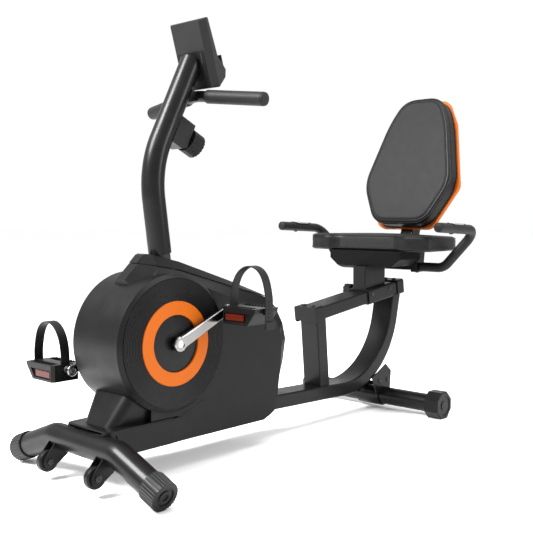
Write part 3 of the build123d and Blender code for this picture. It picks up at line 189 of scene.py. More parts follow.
def weave(name, color, tilt, pitch=0.0018):
    """Plain-woven cover cloth, with threads along and across the panel, and a painted reflection that makes it
    lighter towards its foot.
    """
    b = Builder(name)
    b.shader.inputs["Sheen Weight"].default_value = 0.04
    b.shader.inputs["Specular IOR Level"].default_value = 0.22
    b.shader.inputs["Sheen Roughness"].default_value = 0.4
    turned = b.node("ShaderNodeMapping")
    turned.inputs["Rotation"].default_value = (0.0, tilt, 0.0)
    b.link(b.place, turned.inputs["Vector"])
    threads = []
    for direction in ("Y", "Z"):
        wave = b.node("ShaderNodeTexWave", bands_direction=direction)
        wave.inputs["Scale"].default_value = 0.314 / pitch
        wave.inputs["Distortion"].default_value = 0.6
        b.link(turned.outputs["Vector"], wave.inputs["Vector"])
        threads.append(wave.outputs["Fac"])
    cloth = b.math("MULTIPLY", threads[0], threads[1])
    split = b.node("ShaderNodeSeparateXYZ")
    b.link(b.place, split.inputs[0])
    # Painted reflection: the cloth is painted lighter at its foot and darker at its top.
    rise = b.spread(split.outputs["Z"], 0.0, 1.0, CLOTH_FOOT, CLOTH_TOP)
    reflection_tone = b.blend(rise, shade(1.7, color), shade(0.8, color))
    b.link(b.blend(b.spread(cloth, 0.0, 0.4), reflection_tone, shade(1.6, color)), b.shader.inputs["Base Color"])
    b.link(b.spread(b.noise(40.0), 0.62, 0.78), b.shader.inputs["Roughness"])
    b.link(b.bump(cloth, 0.4, 0.0005), b.shader.inputs["Normal"])
    return b.material


def vinyl(name, color, holes):
    """Coated cover: leather grain, slack creases, and rows of small holes where asked."""
    b = Builder(name)
    b.shader.inputs["Specular IOR Level"].default_value = 0.16
    cells = b.node("ShaderNodeTexVoronoi")
    cells.inputs["Scale"].default_value = 420.0
    b.link(b.place, cells.inputs["Vector"])
    height = b.math("ADD", b.math("MULTIPLY", cells.outputs["Distance"], 0.5), b.noise(70.0, 4.0))
    tone = b.blend(b.noise(12.0), shade(0.8, color), shade(1.25, color))
    if holes:
        dots = b.node("ShaderNodeTexVoronoi")
        dots.inputs["Scale"].default_value = 190.0
        dots.inputs["Randomness"].default_value = 0.0
        b.link(b.place, dots.inputs["Vector"])
        split = b.node("ShaderNodeSeparateXYZ")
        b.link(b.place, split.inputs[0])
        middle = b.math("LESS_THAN", b.math("ABSOLUTE", split.outputs["Y"]), HOLES_HALF_WIDTH)
        hole_depth_and_shade = b.math("MULTIPLY", b.spread(dots.outputs["Distance"], 1.0, 0.0, 0.24, 0.34), middle)
        height = b.math("SUBTRACT", height, b.math("MULTIPLY", hole_depth_and_shade, 2.0))
        tone = b.blend(middle, tone, shade(2.6, color))
        # Painted shade: the holes are painted darker, as the shade inside them.
        tone = b.blend(hole_depth_and_shade, tone, shade(0.25, color))
    b.link(tone, b.shader.inputs["Base Color"])
    b.link(b.spread(b.noise(35.0), 0.32, 0.5), b.shader.inputs["Roughness"])
    b.link(b.bump(height, 0.3, 0.0006), b.shader.inputs["Normal"])
    return b.material


def tinted(name, color, rough):
    """Deep tinted moulding with a lens pattern, such as a pedal reflector."""
    b = Builder(name)
    b.shader.inputs["Coat Weight"].default_value = 0.1
    b.shader.inputs["Specular IOR Level"].default_value = 0.15
    facets = b.node("ShaderNodeTexChecker")
    facets.inputs["Scale"].default_value = 260.0
    b.link(b.place, facets.inputs["Vector"])
    tone = b.blend(facets.outputs["Fac"], shade(0.7, color), shade(1.3, color))
    b.link(tone, b.shader.inputs["Base Color"])
    b.link(b.spread(b.noise(80.0), rough, rough + 0.1), b.shader.inputs["Roughness"])
    b.link(b.bump(facets.outputs["Fac"], 0.4, 0.0004), b.shader.inputs["Normal"])
    return b.material


NEAR_BLACK = (0.0036, 0.0036, 0.0038)

# Each surface's edge value is how much lighter its edges are painted, as a painted highlight.
MATERIALS = {
    "paint": surface("powder_coat", NEAR_BLACK, 0.36, 1400.0, 0.00004, coat=0.09, specular=0.12, edge=2.2),
    "housing": surface("housing_plastic", NEAR_BLACK, 0.38, 1500.0, 0.00008, specular=0.12, edge=2.4),
    "disc": surface("disc_plastic", NEAR_BLACK, 0.3, 1500.0, 0.00005, specular=0.14, radius=0.0006),
    "cap": surface("cap_plastic", (0.004, 0.004, 0.0042), 0.35, 1100.0, 0.0001, specular=0.14, edge=2.4),
    "console": surface("console_plastic", (0.0085, 0.0085, 0.0088), 0.46, 1600.0, 0.0001, specular=0.2,
                       edge=2.2),
    # Painted shade: the console recess is given a darker colour on a flat sheet.
    "recess": surface("console_recess_shade", (0.005, 0.005, 0.0052), 0.5, 1600.0, 0.0001, specular=0.12),
    "orange": surface("orange_plastic", (0.36, 0.074, 0.0018), 0.4, 1500.0, 0.00005, vary=0.03,
                      specular=0.12, edge=1.1),
    "shell": surface("orange_shell", (0.38, 0.08, 0.0022), 0.42, 1200.0, 0.0001, vary=0.04, specular=0.12,
                     edge=1.1),
    "pan": surface("pan_paint", (0.0035, 0.0035, 0.0037), 0.6, 1400.0, 0.00006, specular=0.05),
    "inner": surface("inner_paint", (0.012, 0.012, 0.013), 0.6, specular=0.3),
    "steel": surface("zinc_steel", (0.4, 0.4, 0.4), 0.3, 600.0, 0.00005, metallic=1.0, edge=1.3),
    "plate": surface("sensor_steel", (0.5, 0.5, 0.505), 0.22, 700.0, 0.00003, metallic=1.0, edge=1.3),
    "bolt": surface("black_bolt", (0.02, 0.02, 0.02), 0.26, 900.0, 0.00004, metallic=0.5, specular=0.4,
                    edge=5.0),
    "chrome": surface("crank_chrome", (0.2, 0.195, 0.19), 0.2, 500.0, 0.00002, rough_vary=0.05, metallic=1.0,
                      edge=1.9, radius=0.0025),
    "iron": surface("flywheel_iron", (0.12, 0.12, 0.125), 0.42, 300.0, 0.0001, metallic=0.9),
    "rubber": surface("strap_rubber", (0.006, 0.006, 0.006), 0.46, 700.0, 0.00015, specular=0.16),
    "screen": surface("screen_glass", (0.012, 0.015, 0.015), 0.08, 400.0, 0.00001, rough_vary=0.02, coat=0.6,
                      specular=0.3),
    "key": surface("key_rubber", (0.12, 0.12, 0.124), 0.5, 900.0, 0.0001, specular=0.3),
    "digit": surface("screen_digits", (0.11, 0.14, 0.13), 0.3, 900.0, 0.00002, specular=0.3),
    "foam": foam("grip_foam", (0.0062, 0.0062, 0.0064)),
    "face": weave("backrest_cloth", (0.0085, 0.0085, 0.0088), BACK_TILT),
    "vinyl": vinyl("pad_vinyl", (0.0042, 0.0042, 0.0044), False),
    "perforated": vinyl("seat_vinyl", (0.0046, 0.0046, 0.0048), True),
    "reflector": tinted("pedal_reflector", (0.055, 0.006, 0.003), 0.15),
}

NODE_LOOKS = {
    "paint": (
        "front_stabiliser", "rear_stabiliser", "base_rail", "seat_upright", "seat_rail", "rear_gusset",
        "wheel_brackets", "mast", "front_handlebar", "seat_carriage", "rear_handlebar", "backrest_bracket",
    ),
    "pan": ("seat_pan",),
    "housing": ("housing_left", "housing_right", "top_cover", "base_skirt"),
    "disc": ("side_discs", "hub_covers"),
    "orange": ("accent_rings",),
    "shell": ("backrest_shell",),
    "cap": (
        "front_foot_caps", "rear_foot_caps", "seat_rail_caps", "handlebar_clamps", "tension_box", "tension_knob",
        "lock_knob", "pedal_left", "pedal_right", "pulse_plates", "transport_wheel_left", "transport_wheel_right",
    ),
    "console": ("console_back", "console_front", "device_ledge"),
    "inner": ("mast_socket", "drive_brackets", "magnet_bracket", "crank_pulley", "idler_wheel", "drive_belt"),
    "steel": ("crank_axle", "pedal_spindles", "flywheel_axle", "bearings"),
    "bolt": ("wheel_pins", "seat_bolts"),
    "chrome": ("crank_left", "crank_right"),
    "iron": ("flywheel",),
    "rubber": ("pedal_strap_left", "pedal_strap_right"),
    "screen": ("console_screen",),
    "key": ("button_mode", "button_reset"),
    "foam": ("front_grips", "rear_grips"),
    "vinyl": ("seat_pad", "backrest_pad"),
}
for look, names in NODE_LOOKS.items():
    for node_name in names:
        for material_slot in nodes[node_name].material_slots:
            material_slot.material = MATERIALS[look]

# ------------------------------------------------------------------ mesh helpers


def piece(name, mesh, look, body, smooth=True):
    """Puts a mesh in the scene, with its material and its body."""
    made = bpy.data.objects.new(name, mesh)
    bpy.context.scene.collection.objects.link(made)
    mesh.materials.append(MATERIALS[look])
    for polygon in mesh.polygons:
        polygon.use_smooth = smooth
    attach(made, body)
    return made


def rounded(points, radius, steps=7):
    """The outline with each corner turned into a short curve."""
    outline = []
    for index, corner in enumerate(points):
        here = Vector(corner)
        before = Vector(points[index - 1])
        after = Vector(points[(index + 1) % len(points)])
        reach_in = min(radius, 0.46 * (before - here).length)
        reach_out = min(radius, 0.46 * (after - here).length)
        start = here + (before - here).normalized() * reach_in
        end = here + (after - here).normalized() * reach_out
        for step in range(steps + 1):
            t = step / steps
            outline.append(start * (1 - t) ** 2 + here * 2 * t * (1 - t) + end * t * t)
    return outline


def even(outline, spacing):
    """The closed outline again, with points at equal steps."""
    ends = outline[1:] + outline[:1]
    lengths = [(b - a).length for a, b in zip(outline, ends)]
    total = sum(lengths)
    count = int(total / spacing)
    result = []
    index = 0
    passed = 0.0
    for step in range(count):
        target = total * step / count
        while passed + lengths[index] < target:
            passed += lengths[index]
            index += 1
        share = (target - passed) / max(lengths[index], 1e-9)
        result.append(outline[index].lerp(ends[index], share))
    return result


def inset(outline, amount):
    """The outline moved in by an amount; the outline runs anticlockwise."""
    moved = []
    count = len(outline)
    for index, here in enumerate(outline):
        run = (outline[(index + 2) % count] - outline[index - 2]).normalized()
        moved.append(here + Vector((-run.y, run.x)) * amount)
    return moved


def anticlockwise(points):
    area = sum(a[0] * b[1] - b[0] * a[1] for a, b in zip(points, points[1:] + points[:1]))
    return points if area > 0 else points[::-1]


def closed_mesh(name, rings, start_cap=True, end_cap=True):
    """A skin through equal rings of points, with flat caps where asked."""
    mesh = bpy.data.meshes.new(name)
    bm = bmesh.new()
    made = [[bm.verts.new(point) for point in ring] for ring in rings]
    count = len(made[0])
    for low, high in zip(made, made[1:]):
        for index in range(count):
            after = (index + 1) % count
            bm.faces.new((low[index], low[after], high[after], high[index]))
    if start_cap:
        bm.faces.new(made[0][::-1])
    if end_cap:
        bm.faces.new(made[-1])
    bmesh.ops.recalc_face_normals(bm, faces=bm.faces)
    bm.to_mesh(mesh)
    bm.free()
    return mesh


def settle(mesh, voxel, smooth_steps):
    """The mesh remade at an even size and softened."""
    scratch = bpy.data.objects.new("scratch", mesh)
    bpy.context.scene.collection.objects.link(scratch)
    remesh = scratch.modifiers.new("remesh", "REMESH")
    remesh.mode = "VOXEL"
    remesh.voxel_size = voxel
    smooth = scratch.modifiers.new("smooth", "SMOOTH")
    smooth.iterations = smooth_steps
    smooth.factor = 0.5
    depsgraph = bpy.context.evaluated_depsgraph_get()
    result = bpy.data.meshes.new_from_object(scratch.evaluated_get(depsgraph))
    bpy.data.objects.remove(scratch)
    result.materials.clear()
    return result


def tube(name, points, radius, look, body, closed=True, sides=8):
    """A round cord of cloth or rubber along points, as a mesh."""
    rings = []
    count = len(points)
    for index, here in enumerate(points):
        if closed:
            run = points[(index + 1) % count] - points[index - 1]
        else:
            run = points[min(index + 1, count - 1)] - points[max(index - 1, 0)]
        run.normalize()
        across = run.orthogonal().normalized() if index == 0 else last - run * last.dot(run)
        across.normalize()
        last = across
        up = run.cross(across)
        rings.append([
            here + (across * math.cos(turn) + up * math.sin(turn)) * radius
            for turn in (2 * math.pi * side / sides for side in range(sides))
        ])
    if closed:
        rings.append(rings[0])
    mesh = closed_mesh(name, rings, not closed, not closed)
    if closed:
        bm = bmesh.new()
        bm.from_mesh(mesh)
        bmesh.ops.remove_doubles(bm, verts=bm.verts, dist=1e-6)
        bm.to_mesh(mesh)
        bm.free()
    return piece(name, mesh, look, body)


def turned(profile, centre, axis, sides=24, hexagon=0):
    """Rings of a turned shape: (radius, height) pairs along an axis; the last pairs may be a hexagon socket."""
    axis = axis.normalized()
    across = axis.orthogonal().normalized()
    up = axis.cross(across)
    rings = []
    for place, (radius, height) in enumerate(profile):
        flat = place >= len(profile) - hexagon
        ring = []
        for side in range(sides):
            turn = 2 * math.pi * side / sides
            reach = radius
            if flat:
                wedge = (turn % (math.pi / 3)) - math.pi / 6
                reach = radius * math.cos(math.pi / 6) / math.cos(wedge)
            ring.append(centre + axis * height + (across * math.cos(turn) + up * math.sin(turn)) * reach)
        rings.append(ring)
    return rings


def join(name, meshes):
    """Several meshes as one."""
    bm = bmesh.new()
    for mesh in meshes:
        bm.from_mesh(mesh)
    made = bpy.data.meshes.new(name)
    bm.to_mesh(made)
    bm.free()
    return made


def bolts(name, places, radius, body):
    """Button-head bolts with hexagon sockets, as one piece; places are (point, outward direction)."""
    r = radius * MM
    profile = ((r, -0.4 * r), (r, 0.12 * r), (0.93 * r, 0.3 * r), (0.74 * r, 0.46 * r), (0.55 * r, 0.53 * r),
               (0.5 * r, 0.53 * r), (0.46 * r, 0.2 * r))
    meshes = [closed_mesh("bolt", turned(profile, point, Vector(axis), 24, 2)) for point, axis in places]
    return piece(name, join(name, meshes), "bolt", body)


# ------------------------------------------------------------------ backrest cushion

BACK_UP = Vector((math.sin(BACK_TILT), 0, math.cos(BACK_TILT)))
BACK_REAR = Vector((math.cos(BACK_TILT), 0, -math.sin(BACK_TILT)))
back_half = [(100, -22), (172, 118), (117, 338), (72, 421)]
back_points = anticlockwise(back_half + [(-y, s) for y, s in reversed(back_half)])
back_outline = even(rounded(back_points, 48.0, 9), 5.0)


def back_point(y, rise, depth):
    """A point on the backrest: across, up its face, and behind its front plane."""
    return row(BACK_FOOT[0], y, BACK_FOOT[1]) + (BACK_UP * rise + BACK_REAR * depth) * MM


def back_crown(y, rise):
    """How far the stuffed face stands forward of its edge."""
    across = max(0.0, 1.0 - (y / 172.0) ** 2)
    along = max(0.0, 1.0 - ((rise - 190.0) / 240.0) ** 2)
    return 6.0 * (across * along) ** 0.5


def back_rings(steps, fill):
    """Rings of a backrest piece: (inset, depth) steps, then shrinking rings that carry the crown."""
    rings = []
    for amount, depth in steps:
        rings.append([back_point(p.x, p.y, depth) for p in inset(back_outline, amount)])
    last_inset, last_depth = steps[-1]
    edge = inset(back_outline, last_inset)
    middle = Vector((0.0, 175.0))
    for share in fill:
        ring = []
        for p in edge:
            q = middle.lerp(p, share)
            lift = back_crown(q.x, q.y) * (1.0 - share ** 4)
            ring.append(back_point(q.x, q.y, last_depth - lift))
        rings.append(ring)
    return rings


fill_shares = (0.97, 0.93, 0.87, 0.79, 0.69, 0.57, 0.44, 0.3, 0.16, 0.04)
pad_steps = ((2.0, PAD_DEPTH - 0.3), (0.4, PAD_DEPTH - 4), (0.0, 36.0), (0.6, 24.0), (0.2, 14.0), (1.0, 9.0),
             (3.0, 6.0), (4.5, 5.6), (6.0, 4.2), (9.0, 2.4), (13.0, 2.0), (16.0, 3.2))
pad = piece("backrest_cushion", closed_mesh("backrest_cushion", back_rings(pad_steps, fill_shares)),
            "vinyl", "seat")
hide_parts("backrest_pad")

panel_steps = ((17.0, 4.5), (16.0, 1.6), (16.6, 0.2), (18.5, -0.9), (22.0, -1.6))
panel = piece("backrest_face", closed_mesh("backrest_face", back_rings(panel_steps, fill_shares)),
              "face", "seat")

for name, amount, depth, radius in (
    ("backrest_welt_inner", 14.6, 1.2, 1.7),
    ("backrest_welt_outer", 2.6, 6.6, 1.5),
    ("backrest_welt_rear", 0.2, 43.0, 1.3),
):
    path = [back_point(p.x, p.y, depth) for p in inset(back_outline, amount)]
    tube(name, path, radius * MM, "vinyl", "seat")

# ------------------------------------------------------------------ seat cushion

seat_half = [(865, 107), (840, 150), (863, 231), (1040, 219), (1096, 172), (1100, 36), (1050, 36)]
seat_points = anticlockwise(seat_half + [(x, -y) for x, y in reversed(seat_half)])
seat_outline = even(rounded(seat_points, 26.0), 5.0)


def seat_top(x):
    """Height of the seat cushion's top plane, which falls towards the back."""
    return 242.5 - (x - 850.0) * math.tan(math.radians(2.5))


def seat_ring(amount, height, from_top):
    """One ring of the seat cushion, at a height over its base or under its top."""
    ring = []
    for p in inset(seat_outline, amount):
        level = seat_top(p.x) - height if from_top else SEAT_BOTTOM + height
        ring.append(row(p.x, p.y, level))
    return ring


seat_rings = [seat_ring(*step) for step in (
    (5.0, 0.6, False), (2.0, 2.0, False), (0.8, 6.0, False), (0.6, 14.0, False), (1.6, 20.0, False),
    (0.8, 22.0, True), (0.6, 14.0, True), (2.2, 8.0, True), (5.5, 4.0, True), (10.0, 1.6, True),
)]
seat_mesh = settle(closed_mesh("seat_cushion", seat_rings), 0.004, 3)
for vertex in seat_mesh.vertices:
    x = vertex.co.x / MM - CRANK.x
    y = vertex.co.y / MM
    z = vertex.co.z / MM - CRANK.z
    under = seat_top(x) - z
    if under < 10.0:
        across = math.cos(min(1.0, abs(y) / 225.0) * math.pi / 2)
        along = max(0.0, 1.0 - ((x - 965.0) / 140.0) ** 2)
        hollow = across * along
        groove = 2.2 * math.exp(-((abs(y) - 118.0) / 4.0) ** 2)
        vertex.co.z += (7.0 * hollow - groove) * (1.0 - max(0.0, under) / 10.0) * MM
cushion = piece("seat_cushion", seat_mesh, "perforated", "seat")
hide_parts("seat_pad")

for name, amount, height, from_top, radius in (
    ("seat_welt_top", 2.6, 7.0, True, 1.9),
    ("seat_welt_base", 0.6, 7.0, False, 1.5),
):
    tube(name, seat_ring(amount, height, from_top), radius * MM, "vinyl", "seat")

# ------------------------------------------------------------------ bolts on the frame and seat

RAIL_UP = Vector((-math.sin(RAIL_TILT), 0, math.cos(RAIL_TILT)))


def on_rail(x, y, lift):
    """A point over the seat rail's centre line."""
    return row(x, y, 28.3 + (x - 700.0) * math.tan(RAIL_TILT)) + RAIL_UP * lift * MM


cap_top = 24.0
carriage_side = 41.85
frame_bolts = [(on_rail(x, y, cap_top), RAIL_UP) for x in (590.0, 996.0) for y in (-16.0, 16.0)]
for y in (-41.5, 41.5):
    frame_bolts.append((row(884.0, y, -222.0), (0, y, 0)))
    frame_bolts.append((row(926.0, y, -222.0), (0, y, 0)))
for y in (-24.0, 24.0):
    frame_bolts.append((row(905.0, y, -235.0), (0.0, 0, 1)))
bolts("frame_button_bolts", frame_bolts, 7.0, "frame")

seat_bolt_places = []
for x in (842.0, 936.0):
    for side in (-1, 1):
        seat_bolt_places.append((on_rail(x, side * carriage_side, 8.0), (0, side, 0)))
for side in (-1, 1):
    seat_bolt_places.append((row(990.0, side * 107.0, 121.0), (0, 0, -1)))
    seat_bolt_places.append((row(870.0, side * 300.0, 247.0), (0, 0, -1)))
seat_bolt_piece = bolts("seat_button_bolts", seat_bolt_places, 6.0, "seat")
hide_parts("seat_bolts")

# ------------------------------------------------------------------ pedals

CRANK_TURN = math.radians(24.0)
PEDAL_X = CRANK_LENGTH * math.cos(CRANK_TURN)
PEDAL_Z = CRANK_LENGTH * math.sin(CRANK_TURN)


def block(low, high, edge):
    """A box with rounded edges, in millimetres from the crank axle."""
    bm = bmesh.new()
    bmesh.ops.create_cube(bm, size=1.0)
    size = Vector(high) - Vector(low)
    middle = (Vector(high) + Vector(low)) / 2
    bmesh.ops.transform(bm, matrix=Matrix.Translation(row(*middle)) @ Matrix.Diagonal((*(size * MM), 1.0)),
                        verts=bm.verts)
    bmesh.ops.bevel(bm, geom=bm.edges, offset=edge * MM, segments=2, affect="EDGES")
    mesh = bpy.data.meshes.new("block")
    bm.to_mesh(mesh)
    bm.free()
    return mesh


for hand, side in (("left", -1), ("right", 1)):
    axle_x = -side * PEDAL_X
    axle_z = -side * PEDAL_Z
    body = hand + "_pedal"
    lenses = []
    for end in (-1, 1):
        low_y, high_y = sorted((side * 140.0, side * 202.0))
        low_x, high_x = sorted((axle_x + end * 35.0, axle_x + end * 38.2))
        lenses.append(block((low_x, low_y, axle_z - 19.0), (high_x, high_y, axle_z - 3.5), 1.0))
    piece("pedal_reflectors_" + hand, join("lens", lenses), "reflector", body, smooth=False)
    teeth = []
    for end in (-1, 1):
        for step in range(9):
            y = side * (139.0 + 10.5 * step)
            x = axle_x + end * 35.5
            teeth.append(block((x - 1.6, y - 2.4, axle_z + 12.0), (x + 1.6, y + 2.4, axle_z + 15.4), 0.8))
    piece("pedal_teeth_" + hand, join("teeth", teeth), "cap", body, smooth=False)
    nubs = []
    for step in range(5):
        y = side * 249.3
        nubs.append(block((axle_x - 3.0, min(y, y + side * 1.6), axle_z - 8.0 + 9.0 * step - 1.6),
                          (axle_x + 3.0, max(y, y + side * 1.6), axle_z - 8.0 + 9.0 * step + 1.6), 0.5))
    piece("strap_studs_" + hand, join("studs", nubs), "rubber", body, smooth=False)

# ------------------------------------------------------------------ console screen

screen_low, screen_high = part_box("console_screen")
face_turn = CONSOLE_LEAN + math.atan2(6.7, 91.6)
face_out = Vector((math.cos(face_turn), 0, math.sin(face_turn)))
face_up = Vector((-math.sin(face_turn), 0, math.cos(face_turn)))
screen_mid = (screen_low + screen_high) / 2 + face_out * 0.0009


def bar(y, rise, width, height):
    """A thin raised mark on the screen."""
    corners = []
    for lift in (-0.0002, 0.0002):
        corners.append([
            screen_mid + Vector((0, y + a * width / 2, 0)) + face_up * (rise + c * height / 2) + face_out * lift
            for a, c in ((-1, -1), (1, -1), (1, 1), (-1, 1))
        ])
    return closed_mesh("bar", corners)


marks = []
for digit in range(4):
    y = -0.022 + 0.0125 * digit + (0.004 if digit > 1 else 0.0)
    for rise in (-0.008, 0.008):
        marks.append(bar(y, rise, 0.0065, 0.0012))
    for shift in (-0.0042, 0.0042):
        for rise in (-0.004, 0.004):
            marks.append(bar(y + shift, rise, 0.0012, 0.0062))
for step in range(9):
    marks.append(bar(-0.036 + 0.009 * step, -0.018, 0.006, 0.0018))
piece("screen_marks", join("marks", marks), "digit", "frame", smooth=False)

# ------------------------------------------------------------------ grip ends, sensor plates, knob collar

BAR_MIDDLE = (152.0, 0.0, 596.0)
BAR_TIP = (181.0, 205.0, 573.0)
HANDLE_TIP = (806.0, 300.0, 264.2)
HANDLE_BEND = (1016.0, 300.0, 254.5)
PLATE_FROM_TIP = 92.0
grip_run = (row(*HANDLE_BEND) - row(*HANDLE_TIP)).normalized()


def dome(centre, axis, radius, start, height):
    """A rounded end plug standing on a point, along an axis; sizes in millimetres."""
    profile = [(radius * MM, (start - 2.0) * MM)]
    for step in range(7):
        turn = math.pi / 2 * step / 6.5
        profile.append((radius * math.cos(turn) * MM, (start + height * math.sin(turn)) * MM))
    return closed_mesh("dome", turned(profile, centre, axis, 32))


front_ends = []
rear_ends = []
for side in (-1, 1):
    run = Vector((BAR_TIP[0] - BAR_MIDDLE[0], side * BAR_TIP[1], BAR_TIP[2] - BAR_MIDDLE[2]))
    front_ends.append(dome(row(BAR_TIP[0], side * BAR_TIP[1], BAR_TIP[2]), run, 15.8, 3.9, 4.0))
    rear_ends.append(dome(row(HANDLE_TIP[0], side * HANDLE_TIP[1], HANDLE_TIP[2]), -grip_run, 13.8, 6.8, 4.0))
piece("front_grip_ends", join("ends", front_ends), "foam", "frame")
piece("rear_grip_ends", join("ends", rear_ends), "foam", "seat")


def wrapped(side, half_length, half_width, radius, depth):
    """A pointed plate laid over the top of a rear grip."""
    up = Vector((-grip_run.z, 0, grip_run.x))
    rings = []
    for step in range(25):
        share = step / 12.0 - 1.0
        width = half_width * min(1.0, max(0.02, (1.0 - abs(share)) / 0.55))
        along = PLATE_FROM_TIP + half_length * share
        centre = row(HANDLE_TIP[0], side * HANDLE_TIP[1], HANDLE_TIP[2]) + grip_run * along * MM
        outer = [(index / 5.0 - 1.0, radius) for index in range(11)]
        inner = [(place, radius - depth) for place, _ in reversed(outer)]
        ring = []
        for place, layer in outer + inner:
            turn = place * width / radius
            ring.append(centre + (up * math.cos(turn) + Vector((0, 1, 0)) * math.sin(turn)) * layer * MM)
        rings.append(ring)
    return closed_mesh("plate", rings)


plates = [wrapped(side, 45.0, 13.0, 16.9, 1.0) for side in (-1, 1)]
piece("sensor_plates", join("plates", plates), "plate", "seat", smooth=False)

knob_axis = Vector((0.8927, 0, -0.4507))
knob_root = row(55.4, 0, 517.6)
collar_profile = [(0.009, 0.0615), (0.0125, 0.0625), (0.0125, 0.0655), (0.0105, 0.0662), (0.0105, 0.0675),
                 (0.0135, 0.0682), (0.0135, 0.0696), (0.009, 0.0699)]
piece("knob_collar", closed_mesh("knob_collar", turned(collar_profile, knob_root, knob_axis, 32)), "steel",
      "tension_dial")

# ------------------------------------------------------------------ housing joints


def joint_cover(side):
    """A moulded strip that carries the plinth's side across to the housing's."""
    profile = [(-6.0, 78.04), (8.0, 77.6), (22.0, 76.6), (38.0, 75.6), (62.0, 75.04), (62.0, 74.4), (19.0, 74.4),
               (-6.0, 77.2)]
    return closed_mesh("joint", [[row(x, side * y, z) for x, y in profile] for z in (-239.6, -181.4)])


piece("plinth_joints", join("joints", [joint_cover(-1), joint_cover(1)]), "housing", "frame",
      smooth=False)


def lip_skirt(side):
    """The inner wall of the plinth's front corner, down behind the stabiliser's bend."""
    path = [(-156.0, 75.6)]
    for step in range(9):
        turn = math.pi / 2 * step / 8
        path.append((-172.0 - 19.6 * math.sin(turn), 56.0 + 19.6 * math.cos(turn)))
    path.append((-191.6, 44.0))
    rings = []
    for x, y in path:
        inward = Vector((-90.0 - x, -y)).normalized() * 1.6
        rings.append([row(x + a * inward.x, side * (y + a * inward.y), z)
                      for a, z in ((0.0, -188.8), (1.0, -188.8), (1.0, -209.0), (0.0, -209.0))])
    return closed_mesh("lip", rings)


piece("plinth_lip_walls", join("lips", [lip_skirt(-1), lip_skirt(1)]), "housing", "frame",
      smooth=False)


def wall(side, x, z):
    """The point where the plinth or the housing is met from one side, or nothing."""
    hits = []
    for name in ("base_skirt", "housing_left" if side < 0 else "housing_right"):
        shell = nodes[name]
        there = shell.matrix_world.inverted()
        start = there @ row(x, side * 300.0, z)
        found, place, _, _ = shell.ray_cast(start, there.to_3x3() @ Vector((0, -side, 0)))
        if found:
            hits.append(shell.matrix_world @ place)
    return max(hits, key=lambda hit: side * hit.y) if hits else None


for hand, side in (("left", -1), ("right", 1)):
    crease = []
    for step in range(40):
        share = step / 39.0
        x = -120.0 + 222.0 * share
        z = -183.0 + 31.0 * max(0.0, (x - 5.0) / 97.0) ** 1.5
        hit = wall(side, x, z)
        if hit is not None and abs(hit.y) < 0.082:
            crease.append(hit + Vector((0, -side * 0.0007, 0)))
    tube("plinth_crease_" + hand, crease, 0.0015, "housing", "frame", closed=False)

# ------------------------------------------------------------------ console recess

console_out = Vector((math.cos(CONSOLE_LEAN), 0, math.sin(CONSOLE_LEAN)))
console_up = Vector((-math.sin(CONSOLE_LEAN), 0, math.cos(CONSOLE_LEAN)))


def console_point(y, rise, depth):
    """A point on the console's back: across, up from its top edge, and into the case."""
    return row(111.0, y, 772.0) + (console_up * rise + console_out * depth) * MM


# Painted shade: the recess is a darker flat sheet laid on the console's back, not a hollow.
recess = []
for side in (-1, 1):
    arc = []
    for step in range(13):
        turn = math.pi / 2 * step / 12
        arc.append((28.5 * math.sin(turn), -95.0 - 41.8 * math.cos(turn)))
    outline = [(0.0, -74.0), (46.0, -74.0), (49.0, -78.0), (49.0, -161.0), (46.0, -164.0), (0.0, -164.0)]
    outline += arc + [(0.0, -95.0)]
    rings = [[console_point(side * y, rise, depth) for y, rise in outline] for depth in (0.4, -0.5)]
    recess.append(closed_mesh("recess", rings))
piece("console_recess_shade", join("recess", recess), "recess", "frame", smooth=False)
vents = []
for y in (-37.0, 37.0):
    ring = rounded([Vector((y - 1.6, -105.0)), Vector((y + 1.6, -105.0)), Vector((y + 1.6, -79.0)),
                    Vector((y - 1.6, -79.0))], 1.5, 4)
    vents.append(closed_mesh("vent", [[console_point(p.x, p.y, depth) for p in ring] for depth in (-0.4, -0.9)]))
piece("console_vents", join("vents", vents), "inner", "frame", smooth=False)

# ------------------------------------------------------------------ floor, lights, camera

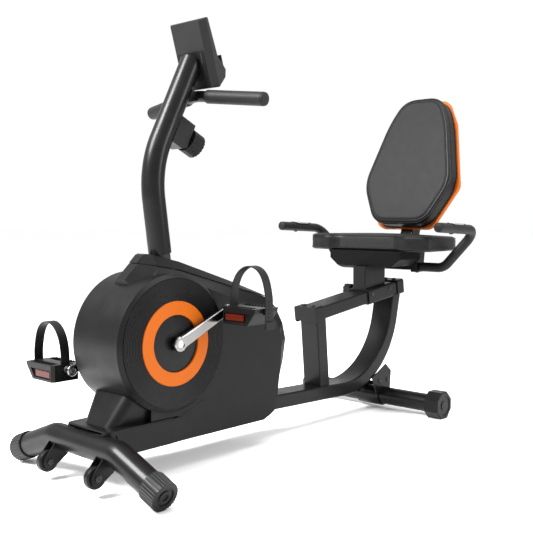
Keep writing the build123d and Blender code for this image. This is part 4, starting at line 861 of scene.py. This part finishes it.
bm = bmesh.new()
bmesh.ops.create_grid(bm, x_segments=1, y_segments=1, size=30.0)
floor_mesh = bpy.data.meshes.new("floor")
bm.to_mesh(floor_mesh)
bm.free()
floor = bpy.data.objects.new("floor", floor_mesh)
bpy.context.scene.collection.objects.link(floor)
floor_look = Builder("studio_floor")
floor_look.link(floor_look.blend(floor_look.noise(0.6), (0.985, 0.985, 0.985), (1.0, 1.0, 1.0)),
                floor_look.shader.inputs["Base Color"])
floor_look.shader.inputs["Roughness"].default_value = 0.7
floor_mesh.materials.append(floor_look.material)

world = bpy.data.worlds.new("studio")
bpy.context.scene.world = world
world.use_nodes = True
world.node_tree.nodes["Background"].inputs["Color"].default_value = (1.0, 1.0, 1.0, 1.0)
world.node_tree.nodes["Background"].inputs["Strength"].default_value = 1.0


def softbox(name, place, target, size, power):
    """A rectangular soft light, aimed at a point."""
    light = bpy.data.lights.new(name, "AREA")
    light.shape = "RECTANGLE"
    light.size, light.size_y = size
    light.energy = power
    lamp = bpy.data.objects.new(name, light)
    lamp.location = place
    lamp.rotation_euler = (Vector(target) - Vector(place)).to_track_quat("-Z", "Y").to_euler()
    bpy.context.scene.collection.objects.link(lamp)


softbox("key_light", (-2.6, 0.9, 3.0), (0.0, 0.0, 0.3), (1.1, 1.6), 420.0)
softbox("top_light", (0.2, -0.6, 3.2), (0.1, 0.0, 0.4), (2.4, 1.4), 60.0)
softbox("side_light", (1.2, -3.0, 1.6), (0.2, 0.0, 0.5), (0.8, 1.8), 70.0)

CAMERA_PLACE = (-1279.8, -1590.3, 298.4)
LENS = 57.04
YAW = math.radians(43.297)
PITCH = math.radians(3.453)
camera_data = bpy.data.cameras.new("camera")
camera_data.lens = LENS
camera_data.sensor_width = 36.0
camera = bpy.data.objects.new("camera", camera_data)
camera.location = row(*CAMERA_PLACE)
view = Vector((math.cos(YAW) * math.cos(PITCH), math.sin(YAW) * math.cos(PITCH), -math.sin(PITCH)))
camera.rotation_euler = view.to_track_quat("-Z", "Y").to_euler()
bpy.context.scene.collection.objects.link(camera)
bpy.context.scene.camera = camera
bpy.context.scene.view_settings.view_transform = "Standard"
